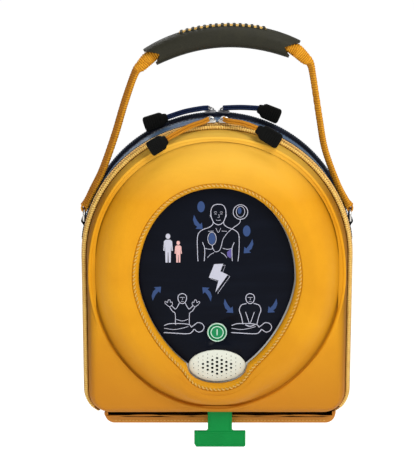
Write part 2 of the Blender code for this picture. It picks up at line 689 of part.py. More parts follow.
def make_face():
    """What the window shows: the membrane, the on/off button in its ring and the speaker grille."""
    angles = [2 * math.pi * k / 56 for k in range(56)]
    label_y = DEVICE_FACE_Y - GAP
    label = solid("membrane_label",
                  *skin([oval_ring(LABEL, 0.0, y, angles) for y in (label_y, label_y - LABEL_THICKNESS)]),
                  "navy_membrane")
    cut(label, *prism(circle(BUTTON_RING_RADIUS + GAP, 24, z=BUTTON_Z), -0.04, -0.025))
    half_x, half_z = SPEAKER_HALF[0] + GAP, SPEAKER_HALF[1] + GAP
    oval = [(x * half_x, SPEAKER_Z + z * half_z) for x, z in circle(1, 28)]
    cut(label, *prism(oval, -0.04, -0.025))
    rows = []
    dome = ((1.0, label_y), (1.0, label_y - 0.0007), (0.94, label_y - 0.0013), (0.6, label_y - 0.0016))
    for share, y in dome:
        rows.append([(x * SPEAKER_HALF[0] * share, y, SPEAKER_Z + z * SPEAKER_HALF[1] * share)
                     for x, z in circle(1, 28)])
    solid("speaker_grille", *skin(rows), "pale_plastic")
    rows = []
    bezel = ((BUTTON_RING_RADIUS, label_y), (BUTTON_RING_RADIUS, label_y - 0.0010),
             (BUTTON_RING_RADIUS - 0.0006, label_y - 0.0015), (BUTTON_RADIUS + 0.0007, label_y - 0.0013),
             (BUTTON_RADIUS + GAP, label_y - 0.0008), (BUTTON_RADIUS + GAP, label_y))
    for radius, y in bezel:
        rows.append([(x, y, BUTTON_Z + z) for x, z in circle(radius, 24)])
    solid("button_ring", *skin(rows, closed=True), "pale_plastic")
    rows = []
    for radius, y in ((BUTTON_RADIUS, label_y + 0.0042), (BUTTON_RADIUS, label_y - 0.0007),
                      (BUTTON_RADIUS - 0.0008, label_y - 0.0011), (0.003, label_y - 0.0008)):
        rows.append([(x, y, BUTTON_Z + z) for x, z in circle(radius, 20)])
    solid("on_off_button", *skin(rows), "green_plastic", BUTTON_REST)
    rows = []
    for radius, y in ((0.0034, -0.0268), (0.0058, -0.0259), (0.0054, -0.0257), (0.0032, -0.0266)):
        rows.append([(x, y, BUTTON_Z + z) for x, z in circle(radius, 16)])
    solid("button_dome_spring", *skin(rows, closed=True), "steel")


def make_electronics():
    """What the housings hold besides the cartridge."""
    solid("main_board", *prism(rounded_box(0.050, 0.038, 0.004, z=-0.172), -0.0190, -0.0174), "circuit_board")
    for name, x, z, radius, y0, y1, finish in (
        ("high_voltage_capacitor", -0.030, -0.164, 0.0145, -0.0168, 0.0128, "blue_sleeve"),
        ("charging_transformer", 0.010, -0.150, 0.0110, -0.0168, 0.0060, "copper"),
        ("discharge_relay", 0.038, -0.176, 0.0090, -0.0168, 0.0010, "black_plastic"),
    ):
        solid(name, *prism(circle(radius, 16 if radius > 0.01 else 8, x, z), y0, y1), finish)
    solid("cartridge_connector", *box((-0.018, -0.0168, -0.2205), (0.018, -0.0050, -0.2135)), "black_plastic")
    rows = []
    for radius, y in ((0.0135, -0.0291), (0.0135, -0.0281), (0.0095, -0.0268), (0.0095, -0.0256)):
        rows.append([(x, y, SPEAKER_Z + z * 0.9) for x, z in circle(radius, 20)])
    solid("speaker_driver", *skin(rows), "black_plastic")
    for name, x, z in (("upper_left", -0.062, -0.139), ("upper_right", 0.062, -0.139),
                       ("lower_left", -0.0725, -0.268), ("lower_right", 0.0725, -0.268)):
        rows = []
        for y in (DEVICE_REAR_Y + 0.0022, DEVICE_REAR_Y + GAP):
            rows.append([(x + dx, y, z + dz) for dx, dz in circle(0.0030, 10)])
        solid(f"housing_screw_{name}", *skin(rows), "steel")


def make_cartridge():
    """The battery and electrode cartridge: its shell, cells, tray, two pads and the pull tab."""
    low = (-CARTRIDGE_HALF_WIDTH, CARTRIDGE_FRONT_Y, CARTRIDGE_BOTTOM)
    high = (CARTRIDGE_HALF_WIDTH, CARTRIDGE_REAR_Y, CARTRIDGE_TOP)
    shell = solid("cartridge_shell", *box(low, high), "pale_plastic")
    cut(shell, *box((-TRAY_HALF_WIDTH - 0.0008, TRAY_FRONT_Y - 0.0006, CARTRIDGE_BOTTOM - 0.01),
                    (TRAY_HALF_WIDTH + 0.0008, TRAY_REAR_Y + 0.0006, TRAY_TOP + 0.0008)))
    cells = (-1.5, -0.5, 0.5, 1.5)
    y = TRAY_REAR_Y + 0.0020 + CELL_RADIUS + 0.0012
    cell_top = -0.2600
    cut(shell, *box((-2 * CELL_PITCH - 0.001, y - CELL_RADIUS - 0.0006, CARTRIDGE_BOTTOM - 0.01),
                    (2 * CELL_PITCH + 0.001, y + CELL_RADIUS + 0.0006, cell_top + 0.001)))
    low = cell_top - CELL_LENGTH
    profile = ((CELL_RADIUS - 0.0004, low), (CELL_RADIUS, low + 0.0006), (CELL_RADIUS, cell_top - 0.0016),
               (0.0028, cell_top - 0.0014), (0.0028, cell_top))
    for number, place in enumerate(cells, 1):
        rows = []
        for radius, z in profile:
            rows.append([(place * CELL_PITCH + x, y + dy, z) for x, dy in circle(radius, 12)])
        solid(f"battery_cell_{number}", *skin(rows), "blue_sleeve")
    wall = 0.0011
    tray = solid("electrode_tray",
                 *box((-TRAY_HALF_WIDTH, TRAY_FRONT_Y, TRAY_BOTTOM),
                      (TRAY_HALF_WIDTH, TRAY_REAR_Y, TRAY_TOP)),
                 "white_film", TRAY_REST)
    cut(tray, *box((-TRAY_HALF_WIDTH + wall, TRAY_FRONT_Y - 0.01, TRAY_BOTTOM + wall),
                   (TRAY_HALF_WIDTH - wall, TRAY_REAR_Y - wall, TRAY_TOP - wall)))
    for name, depth in (("electrode_pad_front", 0.0008), ("electrode_pad_rear", 0.0034)):
        y0 = TRAY_FRONT_Y + depth
        outline = rounded_box(0.040, 0.033, 0.012, z=(TRAY_TOP + TRAY_BOTTOM) / 2)
        solid(name, *prism(outline, y0, y0 + 0.0016), "white_film")
    stem, bar, chamfer = STEM_WIDTH / 2, BAR_WIDTH / 2, 0.003
    outline = [(stem, STEM_TOP), (-stem, STEM_TOP), (-stem, BAR_TOP), (-bar, BAR_TOP),
               (-bar, BAR_BOTTOM + chamfer), (-bar + chamfer, BAR_BOTTOM), (bar - 0.0012, BAR_BOTTOM),
               (bar, BAR_BOTTOM + 0.0012), (bar, BAR_TOP), (stem, BAR_TOP)]
    placed = [(TAB_X + x, z) for x, z in outline]
    solid("pull_tab", *prism(placed, TAB_Y - TAB_THICKNESS / 2, TAB_Y + TAB_THICKNESS / 2),
          "green_plastic", TRAY_REST)


def place_in_world(item):
    """The world position of an object whose parents are only moved, not turned."""
    place = item.location.copy()
    while item.parent:
        item = item.parent
        place += item.location
    return place


def attach(child, parent):
    """Parents an object to an empty and leaves it where it is."""
    child.location = child.location - place_in_world(parent)
    child.parent = parent


def joint(name, place, nodes, parent=None):
    """An empty on a joint's axis that carries the objects that move with the joint."""
    axis = bpy.data.objects.new(name, None)
    axis.empty_display_size = 0.02
    axis.location = place
    bpy.context.scene.collection.objects.link(axis)
    if parent:
        attach(axis, parent)
    for node in nodes:
        attach(bpy.data.objects[node], axis)
    return axis


def make_joints():
    """The chain of joints: handle, case, then what moves on the case. What is left belongs to the case."""
    pull_nodes = [f"{kind}_{pull_label(zip_name, side)}" for zip_name, _, side, _ in PULLS
                  for kind in ("zip_slider", "pull_loop", "pull_grip")]
    moving = {*HANDLE_NODES, *FRONT_FLAP_NODES, *REAR_FLAP_NODES, *BUTTON_NODES, *DRAWER_NODES, *pull_nodes}
    fixed = [item.name for item in bpy.context.scene.objects
             if item.type == "MESH" and not item.parent and item.name not in moving]
    handle = joint("handle_origin", (0.0, 0.0, 0.0), HANDLE_NODES)
    case = joint("case_swing_axis", SWING, fixed, handle)
    flaps = {
        "front": joint("front_flap_axis", HINGE_FRONT, FRONT_FLAP_NODES, case),
        "rear": joint("rear_flap_axis", HINGE_REAR, REAR_FLAP_NODES, case),
    }
    joint("power_button_axis", BUTTON_REST, BUTTON_NODES, case)
    joint("electrode_drawer_axis", TRAY_REST, DRAWER_NODES, case)
    for zip_name, y, side, _ in PULLS:
        label = pull_label(zip_name, side)
        slider = joint(f"slider_{label}_axis", (0.0, y, ARCH_Z), [f"zip_slider_{label}"], flaps[zip_name])
        joint(f"pull_{label}_axis", (side * SLIDER_OFFSET, y, BAIL_Z),
              [f"pull_loop_{label}", f"pull_grip_{label}"], slider)


clear_scene()
make_handle()
make_rings()
make_case_body()
make_front_flap()
make_rear_flap()
make_sliders()
make_device_housings()
make_face()
make_electronics()
make_cartridge()
make_joints()
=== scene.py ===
"""The looks of a defibrillator in its moulded carry case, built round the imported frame."""

import json
import math

import bmesh
import bpy
import numpy as np
from mathutils import Matrix, Vector, noise


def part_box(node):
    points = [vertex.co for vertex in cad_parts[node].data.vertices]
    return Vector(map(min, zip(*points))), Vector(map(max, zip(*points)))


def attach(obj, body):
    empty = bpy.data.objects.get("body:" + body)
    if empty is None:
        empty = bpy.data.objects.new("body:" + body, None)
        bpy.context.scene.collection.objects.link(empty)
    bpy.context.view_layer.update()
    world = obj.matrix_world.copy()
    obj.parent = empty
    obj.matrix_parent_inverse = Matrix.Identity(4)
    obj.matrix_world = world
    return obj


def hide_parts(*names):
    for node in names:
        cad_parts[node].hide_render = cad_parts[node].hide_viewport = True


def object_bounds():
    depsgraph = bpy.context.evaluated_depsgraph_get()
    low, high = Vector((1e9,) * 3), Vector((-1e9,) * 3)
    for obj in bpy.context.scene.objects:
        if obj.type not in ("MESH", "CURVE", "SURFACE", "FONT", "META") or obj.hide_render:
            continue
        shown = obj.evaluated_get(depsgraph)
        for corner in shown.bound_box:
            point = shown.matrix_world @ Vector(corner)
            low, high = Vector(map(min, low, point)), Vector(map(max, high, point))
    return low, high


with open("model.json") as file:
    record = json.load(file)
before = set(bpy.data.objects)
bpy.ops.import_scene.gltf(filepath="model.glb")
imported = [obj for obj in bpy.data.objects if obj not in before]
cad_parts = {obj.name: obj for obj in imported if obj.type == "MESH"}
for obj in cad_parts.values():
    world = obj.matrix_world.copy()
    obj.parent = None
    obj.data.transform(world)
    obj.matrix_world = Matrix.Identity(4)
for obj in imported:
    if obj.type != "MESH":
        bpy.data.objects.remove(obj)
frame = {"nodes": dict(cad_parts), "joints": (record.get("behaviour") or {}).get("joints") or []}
CAD_BOX = [list(corner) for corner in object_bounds()]

# ---------------------------------------------------------------- sizes, from the frame

BAND_LOW, BAND_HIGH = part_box("middle_band")
REAR_LOW, REAR_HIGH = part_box("rear_shell")
LABEL_LOW, LABEL_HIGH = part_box("membrane_label")
BUTTON_LOW, BUTTON_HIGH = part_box("on_off_button")
BEZEL_LOW, BEZEL_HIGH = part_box("button_ring")
GRILLE_LOW, GRILLE_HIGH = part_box("speaker_grille")
LEDGE_LOW, LEDGE_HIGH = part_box("base_ledge")
TAB_LOW, TAB_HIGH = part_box("pull_tab")
PANEL_LOW, PANEL_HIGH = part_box("divider_panel")
RING_LOW, RING_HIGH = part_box("side_ring_right")
DEVICE_LOW, DEVICE_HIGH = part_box("device_front_housing")
JOINTS = {joint["name"]: joint for joint in frame["joints"]}

BAND_INSET = 0.003
CASE_RADIUS = BAND_HIGH.x + BAND_INSET
CASE_BOTTOM = BAND_LOW.z - BAND_INSET
ARCH_Z = BAND_HIGH.z + BAND_INSET - CASE_RADIUS
CORNER_RADIUS = 0.026
LEDGE_CORNER = 0.009
ARC_STEPS, CORNER_STEPS, SIDE_STEPS, FLOOR_STEPS = 112, 12, 18, 48

FRONT_ZIP_Y = JOINTS["front_flap_hinge"]["pos_m"][1]
REAR_ZIP_Y = JOINTS["rear_flap_hinge"]["pos_m"][1]
BAND_FRONT_Y, BAND_REAR_Y = BAND_LOW.y, BAND_HIGH.y
REAR_FLAP_Y, REAR_FACE_Y = REAR_LOW.y, REAR_HIGH.y

# Ovals on the front, about one centre: half width, height above and below it, and roundness
FACE_Z = -0.211
GROOVE = (0.1104, 0.1232, 0.1224, 2.15, 2.0)
WINDOW = (0.0700, 0.0835, 0.0925, 2.1, 1.62)
LABEL_OVAL = (0.0690, 0.0827, 0.0912, 2.1, 1.62)
LABEL_SHIFT = -0.0006
DEVICE = (0.090, 0.103, 0.113, 2.35, 2.3)
FRONT_LIFT = 0.0008
INK_HEIGHT = 0.00012
GRILLE_Z = (GRILLE_LOW.z + GRILLE_HIGH.z) / 2
GRILLE_HALF = ((GRILLE_HIGH.x - GRILLE_LOW.x) / 2, (GRILLE_HIGH.z - GRILLE_LOW.z) / 2)
GRILLE_MARGIN = 0.0012
BEZEL_Z = (BEZEL_LOW.z + BEZEL_HIGH.z) / 2
LABEL_Y = LABEL_LOW.y
WINDOW_SAMPLES = 720
SMOOTH_SPAN = 40

RING_Z = JOINTS["case_swing"]["pos_m"][2]
RING_X = (RING_LOW.x + RING_HIGH.x) / 2
RING_RADIUS = 0.0068
RING_WIRE = 0.0012
RING_BAR_DROP = 0.0035
WEBBING_THICKNESS = 0.0014
STRAP_RIB = 0.0021
SLIDER_OFFSET = 0.0062

GRIP_CENTRE = Vector((0.0035, 0.0, 0.0))
GRIP_TILT = math.radians(3.2)
GRIP_BEND_RADIUS = 0.141
GRIP_HALF_ANGLE = math.radians(27.5)
GRIP_HALF_HEIGHT = 0.0098
GRIP_HALF_DEPTH = 0.0135
LACE_FROM, LACE_TO, LACES = -0.52, 0.56, 15

PIPING_STEP = 0.0006
TOOTH_PITCH = 0.0021

# Rows of thread: pitch, length of a stitch and radius of the thread
WINDOW_STITCH = (0.0036, 0.0026, 0.00066)
TAPE_STITCH = (0.0026, 0.0018, 0.00026)
BAND_STITCH = (0.0034, 0.0023, 0.00028)
LID_STITCH = (0.0034, 0.0023, 0.0003)
QUILT_STITCH = (0.004, 0.0028, 0.0003)
LEDGE_STITCH = (0.0032, 0.0022, 0.0003)
ANCHOR_STITCH = (0.0022, 0.0016, 0.00025)

CAMERA_DISTANCE = 1.6
CAMERA_ELEVATION = math.radians(15)
CAMERA_AIM = Vector((-0.009, 0.0, -0.1774))
CAMERA_LENS = 137.9
FLOOR_DROP = 0.35
FLOOR_REACH = 9.0

BACKWARDS = Vector((0, 1, 0))

# ---------------------------------------------------------------- materials


class Finish:
    """A node material, built up a few nodes at a time round its Principled shader."""

    made = {}

    def __init__(self, name, colour, roughness=0.5, metallic=0.0, coords="Object", shine=0.5):
        material = bpy.data.materials.new(name)
        material.use_nodes = True
        self.tree = material.node_tree
        self.shader = self.tree.nodes["Principled BSDF"]
        for socket, value in (("Base Color", (*colour, 1.0)), ("Roughness", roughness),
                              ("Metallic", metallic), ("Specular IOR Level", shine)):
            self.shader.inputs[socket].default_value = value
        self.coords = self.tree.nodes.new("ShaderNodeTexCoord").outputs[coords]
        self.colour = colour
        self.normal = None
        Finish.made[name] = material

    def node(self, kind, inputs=None, **settings):
        made = self.tree.nodes.new(kind)
        for key, value in settings.items():
            setattr(made, key, value)
        for key, value in (inputs or {}).items():
            if isinstance(value, bpy.types.NodeSocket):
                self.tree.links.new(value, made.inputs[key])
            else:
                made.inputs[key].default_value = value
        return made

    def stretched(self, scale):
        return self.node("ShaderNodeMapping", {"Vector": self.coords, "Scale": scale}).outputs[0]

    def noise(self, scale, detail=3.0, stretch=None):
        vector = self.stretched(stretch) if stretch else self.coords
        inputs = {"Vector": vector, "Scale": scale, "Detail": detail}
        return self.node("ShaderNodeTexNoise", inputs).outputs["Fac"]

    def cells(self, scale):
        return self.node("ShaderNodeTexVoronoi",
                         {"Vector": self.coords, "Scale": scale}).outputs["Distance"]

    def waves(self, pitch, direction, distortion=0.0):
        """Ridges of one pitch, in metres, across one axis of the coordinates."""
        inputs = {"Vector": self.coords, "Scale": 2 * math.pi / 20 / pitch, "Distortion": distortion,
                  "Detail": 1.0, "Detail Scale": 2.0}
        made = self.node("ShaderNodeTexWave", inputs, wave_type="BANDS", bands_direction=direction)
        return made.outputs["Fac"]

    def weave(self, pitch, first="X", second="Z"):
        """Over-and-under threads of one pitch."""
        check = self.node("ShaderNodeTexChecker",
                          {"Vector": self.coords, "Scale": 1 / pitch}).outputs["Fac"]
        warp, weft = self.waves(pitch, first), self.waves(pitch, second)
        return self.mix(check, warp, weft)

    def mix(self, factor, first, second):
        made = self.node("ShaderNodeMix", {0: factor, 2: first, 3: second})
        return made.outputs[0]

    def math(self, operation, first, second):
        return self.node("ShaderNodeMath", {0: first, 1: second}, operation=operation).outputs[0]

    def remap(self, value, low, high, to_low=0.0, to_high=1.0):
        inputs = {"Value": value, "From Min": low, "From Max": high, "To Min": to_low, "To Max": to_high}
        return self.node("ShaderNodeMapRange", inputs).outputs[0]

    def tint(self, factor, colour):
        """Mixes another colour over what the shader has so far."""
        socket = self.shader.inputs["Base Color"]
        below = socket.links[0].from_socket if socket.links else (*self.colour, 1.0)
        made = self.node("ShaderNodeMix", {0: factor, 6: below, 7: (*colour, 1.0)}, data_type="RGBA")
        self.tree.links.new(made.outputs[2], socket)

    def rough(self, factor, low, high):
        self.tree.links.new(self.remap(factor, 0.0, 1.0, low, high), self.shader.inputs["Roughness"])

    def bump(self, height, distance, strength=1.0):
        inputs = {"Height": height, "Distance": distance, "Strength": strength}
        if self.normal:
            inputs["Normal"] = self.normal
        self.normal = self.node("ShaderNodeBump", inputs).outputs["Normal"]
        self.tree.links.new(self.normal, self.shader.inputs["Normal"])

    def mask(self, name):
        """A number that the mesh carries at each point."""
        return self.node("ShaderNodeAttribute", attribute_name=name).outputs["Fac"]


def make_coated_cloth(name, colour, dark, roughness=0.5, pitch=0.0008, coords="Object", second="Z",
                      shine=0.3):
    """Coated woven cloth: fine weave, soft creases, worn high spots, and painted shade in its low ones
    where the mesh marks it.
    """
    finish = Finish(name, colour, roughness, coords=coords, shine=shine)
    cloud = finish.noise(26.0, 4.0)
    grain = finish.noise(1500.0, 2.0)
    weave = finish.weave(pitch, "X", second)
    finish.tint(finish.remap(cloud, 0.42, 0.72, 0.0, 0.30), dark)
    finish.tint(finish.remap(weave, 0.0, 0.35, 0.16, 0.0), dark)
    finish.tint(finish.remap(grain, 0.35, 0.6, 0.10, 0.0), dark)
    # Painted shade in grooves, valleys and folds, by the number each point of the mesh carries.
    finish.tint(finish.math("MULTIPLY", finish.mask("painted_shade"), 0.85), tuple(0.30 * c for c in dark))
    finish.rough(cloud, roughness - 0.10, roughness + 0.16)
    finish.bump(cloud, 0.0012, 0.35)
    finish.bump(weave, 0.00012, 0.55)
    finish.bump(grain, 0.00010, 0.40)
    return finish


def painted_light_by_height(finish):
    """Painted light and shade: the cloth is lighter near the top and darker near the base, as the light
    falls on it.
    """
    height = finish.node("ShaderNodeSeparateXYZ", {0: finish.coords}).outputs["Z"]
    # Painted light towards the top, painted shade towards the base.
    finish.tint(finish.remap(height, -0.14, -0.085, 0.0, 0.55), (1.0, 0.66, 0.10))
    finish.tint(finish.remap(height, -0.25, -0.335, 0.0, 0.80), (0.56, 0.20, 0.012))


def make_webbing(name, colour, dark, rib=0.0016, roughness=0.62):
    """Ribbed webbing: ribs across its length, fine yarns along it."""
    finish = Finish(name, colour, roughness, coords="UV", shine=0.2)
    ribs = finish.waves(rib, "Y", 1.2)
    yarns = finish.waves(0.0007, "X", 2.0)
    cloud = finish.noise(60.0, 3.0)
    finish.tint(finish.remap(ribs, 0.0, 0.6, 0.75, 0.0), dark)
    finish.tint(finish.remap(yarns, 0.0, 0.5, 0.25, 0.0), dark)
    finish.tint(finish.remap(cloud, 0.45, 0.8, 0.0, 0.3), dark)
    # Painted shade on the side of the strap that faces away from the key lamp, by the number each point
    # carries.
    finish.tint(finish.mask("painted_shade"), tuple(0.8 * c for c in dark))
    finish.rough(cloud, roughness - 0.1, roughness + 0.15)
    finish.bump(ribs, 0.00045, 0.8)
    finish.bump(yarns, 0.00012, 0.6)


def make_plastic(name, colour, shade, roughness=0.4, grain=900.0, depth=0.00006, shine=0.5):
    """Moulded plastic: fine spark texture, faint flow marks and handling marks."""
    finish = Finish(name, colour, roughness, shine=shine)
    cloud = finish.noise(35.0, 4.0)
    spark = finish.noise(grain, 2.0)
    scuff = finish.noise(220.0, 5.0, (1.0, 1.0, 0.12))
    finish.tint(finish.remap(cloud, 0.4, 0.75, 0.0, 0.35), shade)
    finish.tint(finish.remap(scuff, 0.66, 0.74, 0.0, 0.18), [min(1.0, c * 1.6 + 0.03) for c in colour])
    finish.rough(cloud, max(0.05, roughness - 0.08), roughness + 0.14)
    finish.bump(spark, depth, 0.6)
    finish.bump(cloud, 0.0004, 0.08)


def make_metal(name, colour, dark, roughness=0.28):
    """Plated metal with fine brushing and tarnish."""
    finish = Finish(name, colour, roughness, 1.0)
    brush = finish.noise(300.0, 4.0, (1.0, 1.0, 14.0))
    tarnish = finish.noise(160.0, 5.0)
    finish.tint(finish.remap(tarnish, 0.5, 0.8, 0.0, 0.6), dark)
    finish.rough(brush, roughness - 0.1, roughness + 0.22)
    finish.bump(brush, 0.00004, 0.5)


def make_rubber(name, colour, shine=0.22):
    """Moulded rubber: matt, pebbled, with paler dust in its texture."""
    finish = Finish(name, colour, 0.62, shine=shine)
    pebble = finish.cells(700.0)
    dust = finish.noise(70.0, 5.0)
    finish.tint(finish.remap(dust, 0.5, 0.78, 0.0, 0.35), tuple(2.2 * c for c in colour))
    finish.tint(finish.remap(pebble, 0.1, 0.5, 0.20, 0.0), (0.006, 0.006, 0.005))
    finish.rough(dust, 0.46, 0.78)
    finish.bump(pebble, 0.00016, 0.55)
    finish.bump(dust, 0.0006, 0.15)


def make_ink(name, colour):
    """Printed ink, a little broken up by the film's grain."""
    finish = Finish(name, colour, 0.42)
    speck = finish.noise(1300.0, 3.0)
    finish.tint(finish.remap(speck, 0.5, 0.75, 0.0, 0.28), tuple(0.45 * c for c in colour))
    finish.rough(speck, 0.34, 0.52)
    finish.bump(speck, 0.00003, 0.5)


def make_film(name, colour):
    """The membrane's printed film: satin, near black, with a fine emboss and a few wipe marks."""
    finish = Finish(name, colour, 0.34, shine=0.07)
    wipe = finish.noise(50.0, 5.0, (0.4, 1.0, 2.2))
    emboss = finish.noise(1600.0, 2.0)
    finish.tint(finish.remap(wipe, 0.45, 0.75, 0.0, 0.5), (0.0055, 0.0080, 0.0165))
    finish.rough(wipe, 0.26, 0.46)
    finish.bump(emboss, 0.00004, 0.5)


def make_board(name):
    """A circuit board: green mask over copper tracks, with tinned pads."""
    finish = Finish(name, (0.012, 0.12, 0.045), 0.35)
    tracks = finish.math("MAXIMUM", finish.waves(0.0042, "X", 9.0), finish.waves(0.0051, "Z", 9.0))
    pads = finish.cells(230.0)
    finish.tint(finish.remap(tracks, 0.90, 0.96, 0.0, 0.6), (0.05, 0.30, 0.10))
    finish.tint(finish.remap(pads, 0.10, 0.13, 0.9, 0.0), (0.62, 0.60, 0.52))
    finish.rough(tracks, 0.25, 0.5)
    finish.bump(tracks, 0.0001, 0.6)


def make_winding(name):
    """Enamelled wire wound side by side."""
    finish = Finish(name, (0.50, 0.19, 0.06), 0.32, 1.0)
    turns = finish.waves(0.0006, "Y", 0.4)
    finish.tint(finish.remap(turns, 0.0, 0.4, 0.8, 0.0), (0.10, 0.03, 0.01))
    finish.rough(turns, 0.5, 0.25)
    finish.bump(turns, 0.0003, 0.9)


def make_floor(name):
    """Plain pale floor that glows, faintly near the object and brighter away from it: painted light
    standing in for background lamps.
    """
    finish = Finish(name, (0.60, 0.60, 0.60), 0.9, shine=0.0)
    speck = finish.noise(9.0, 4.0)
    finish.tint(finish.remap(speck, 0.3, 0.7, 0.0, 0.05), (0.55, 0.55, 0.55))
    away = finish.node("ShaderNodeVectorMath", {0: finish.coords}, operation="LENGTH").outputs["Value"]
    # Painted light: the floor's glow rises with distance from the object.
    finish.shader.inputs["Emission Color"].default_value = (1.0, 1.0, 1.0, 1.0)
    glow = finish.remap(away, 0.45, 1.10, 0.06, 0.85)
    finish.tree.links.new(glow, finish.shader.inputs["Emission Strength"])


def make_materials():
    """Every finish, by the name that the pieces use."""
    painted_light_by_height(make_coated_cloth("shell_cloth", (0.84, 0.375, 0.0085), (0.60, 0.215, 0.004), 0.46,
                                      shine=0.14))
    make_coated_cloth("edge_cloth", (0.86, 0.39, 0.010), (0.60, 0.21, 0.004), 0.50, 0.0006, "UV", "Y", 0.16)
    make_coated_cloth("zip_cloth", (0.22, 0.085, 0.010), (0.10, 0.032, 0.003), 0.6, 0.0005, "UV", "Y", 0.1)
    make_coated_cloth("ledge_cloth", (0.60, 0.225, 0.018), (0.36, 0.11, 0.008), 0.55, 0.0007)
    make_coated_cloth("band_cloth", (0.060, 0.120, 0.215), (0.010, 0.025, 0.058), 0.42, 0.0009, "UV",
                      "Y", 0.35)
    make_coated_cloth("navy_cloth", (0.008, 0.014, 0.036), (0.003, 0.005, 0.014), 0.60, 0.0010)
    make_coated_cloth("navy_edge", (0.004, 0.006, 0.015), (0.002, 0.003, 0.006), 0.55, 0.0006, "UV",
                      "Y", 0.08)
    make_coated_cloth("lining_cloth", (0.030, 0.034, 0.042), (0.012, 0.014, 0.02), 0.8, 0.0012)
    make_webbing("strap_webbing", (0.86, 0.385, 0.016), (0.34, 0.105, 0.004), 0.0021)
    make_webbing("black_webbing", (0.014, 0.014, 0.015), (0.005, 0.005, 0.006), 0.0012)
    make_webbing("cord_yellow", (0.78, 0.32, 0.016), (0.33, 0.10, 0.005), 0.0011)
    make_webbing("cord_blue", (0.010, 0.024, 0.085), (0.003, 0.006, 0.022), 0.0011)
    make_webbing("thread_yellow", (1.0, 0.68, 0.20), (0.80, 0.38, 0.04), 0.0005)
    make_webbing("piping_yellow", (1.0, 0.70, 0.20), (0.62, 0.26, 0.02), 0.0022)
    make_webbing("thread_dark", (0.030, 0.045, 0.085), (0.010, 0.015, 0.03), 0.0005)
    make_rubber("grip_rubber", (0.021, 0.020, 0.0115))
    make_rubber("pull_rubber", (0.0040, 0.0042, 0.0040), 0.06)
    make_rubber("seal_rubber", (0.012, 0.012, 0.012))
    make_plastic("pale_plastic", (0.79, 0.82, 0.72), (0.60, 0.63, 0.53), 0.42)
    make_plastic("housing_plastic", (0.66, 0.69, 0.67), (0.46, 0.49, 0.48), 0.48, 700.0, 0.0001)
    make_plastic("button_green", (0.006, 0.255, 0.085), (0.003, 0.16, 0.05), 0.36, 1200.0, 0.00003,
                 shine=0.2)
    make_plastic("tab_green", (0.002, 0.285, 0.055), (0.002, 0.16, 0.032), 0.38, 1000.0, 0.00005,
                 shine=0.12)
    make_plastic("black_plastic", (0.010, 0.010, 0.011), (0.005, 0.005, 0.006), 0.45)
    # Black for the plugs in the grille's holes, a painted shade.
    make_plastic("hole_black", (0.004, 0.004, 0.004), (0.002, 0.002, 0.002), 0.8, shine=0.05)
    make_plastic("zip_teeth_yellow", (1.0, 0.66, 0.22), (0.62, 0.30, 0.05), 0.4, 1500.0)
    make_plastic("zip_teeth_black", (0.040, 0.052, 0.075), (0.012, 0.016, 0.024), 0.28, 1500.0)
    make_plastic("pad_film", (0.80, 0.82, 0.80), (0.62, 0.66, 0.66), 0.30, 500.0, 0.0001)
    make_plastic("sleeve_blue", (0.02, 0.06, 0.32), (0.010, 0.035, 0.20), 0.30)
    make_metal("steel", (0.72, 0.71, 0.68), (0.33, 0.30, 0.26))
    make_metal("black_metal", (0.30, 0.30, 0.31), (0.05, 0.05, 0.05), 0.34)
    make_ink("ink_pale", (0.56, 0.57, 0.68))
    make_ink("ink_blue", (0.011, 0.050, 0.185))
    make_ink("ink_pink", (0.80, 0.46, 0.44))
    make_ink("ink_violet", (0.10, 0.075, 0.32))
    make_ink("ink_mint", (0.60, 0.84, 0.70))
    make_film("membrane_film", (0.0026, 0.0038, 0.0088))
    make_board("board")
    make_winding("winding")
    make_floor("glowing_floor")


# ---------------------------------------------------------------- mesh helpers


def piece(name, points, faces, finish, uvs=None, smooth_deg=40.0):
    """A new object with one finish, smooth but for edges sharper than smooth_deg."""
    mesh = bpy.data.meshes.new(name)
    mesh.from_pydata(np.asarray(points).tolist(), [], [list(face) for face in faces])
    if uvs is not None:
        layer = mesh.uv_layers.new(name="metres")
        layer.data.foreach_set("uv", np.asarray(uvs, np.float32).ravel())
    work = bmesh.new()
    work.from_mesh(mesh)
    bmesh.ops.recalc_face_normals(work, faces=work.faces)
    work.to_mesh(mesh)
    work.free()
    mesh.shade_smooth()
    mesh.set_sharp_from_angle(angle=math.radians(smooth_deg))
    mesh.materials.append(Finish.made[finish])
    made = bpy.data.objects.new(name, mesh)
    bpy.context.scene.collection.objects.link(made)
    return made


def grid(rows, loop=False, caps=False):
    """Points, faces and UVs in metres for a skin over rows of equal length."""
    table = np.array([[tuple(point) for point in row] for row in rows], float)
    count, width = table.shape[:2]
    around = np.linalg.norm(np.roll(table, -1, 1) - table, axis=2).mean(0)
    along = np.linalg.norm(np.roll(table, -1, 0) - table, axis=2).mean(1)
    u = np.concatenate([[0.0], np.cumsum(around)])
    v = np.concatenate([[0.0], np.cumsum(along)])
    r, c = np.meshgrid(np.arange(count if loop else count - 1), np.arange(width), indexing="ij")
    r, c = r.ravel(), c.ravel()
    r2, c2 = (r + 1) % count, (c + 1) % width
    faces = np.stack([r * width + c, r * width + c2, r2 * width + c2, r2 * width + c], 1).tolist()
    corners = np.stack([u[c], v[r], u[c + 1], v[r], u[c + 1], v[r + 1], u[c], v[r + 1]], 1)
    uvs = corners.reshape(-1, 2).tolist()
    if caps:
        for row in (0, count - 1):
            faces.append([row * width + i for i in range(width)])
            uvs += [(u[i], v[row]) for i in range(width)]
    return table.reshape(-1, 3), faces, uvs


def loft(name, rows, finish, smooth_deg=40.0, **shape):
    """A piece skinned over rows of equal length."""
    points, faces, uvs = grid(rows, **shape)
    return piece(name, points, faces, finish, uvs, smooth_deg)


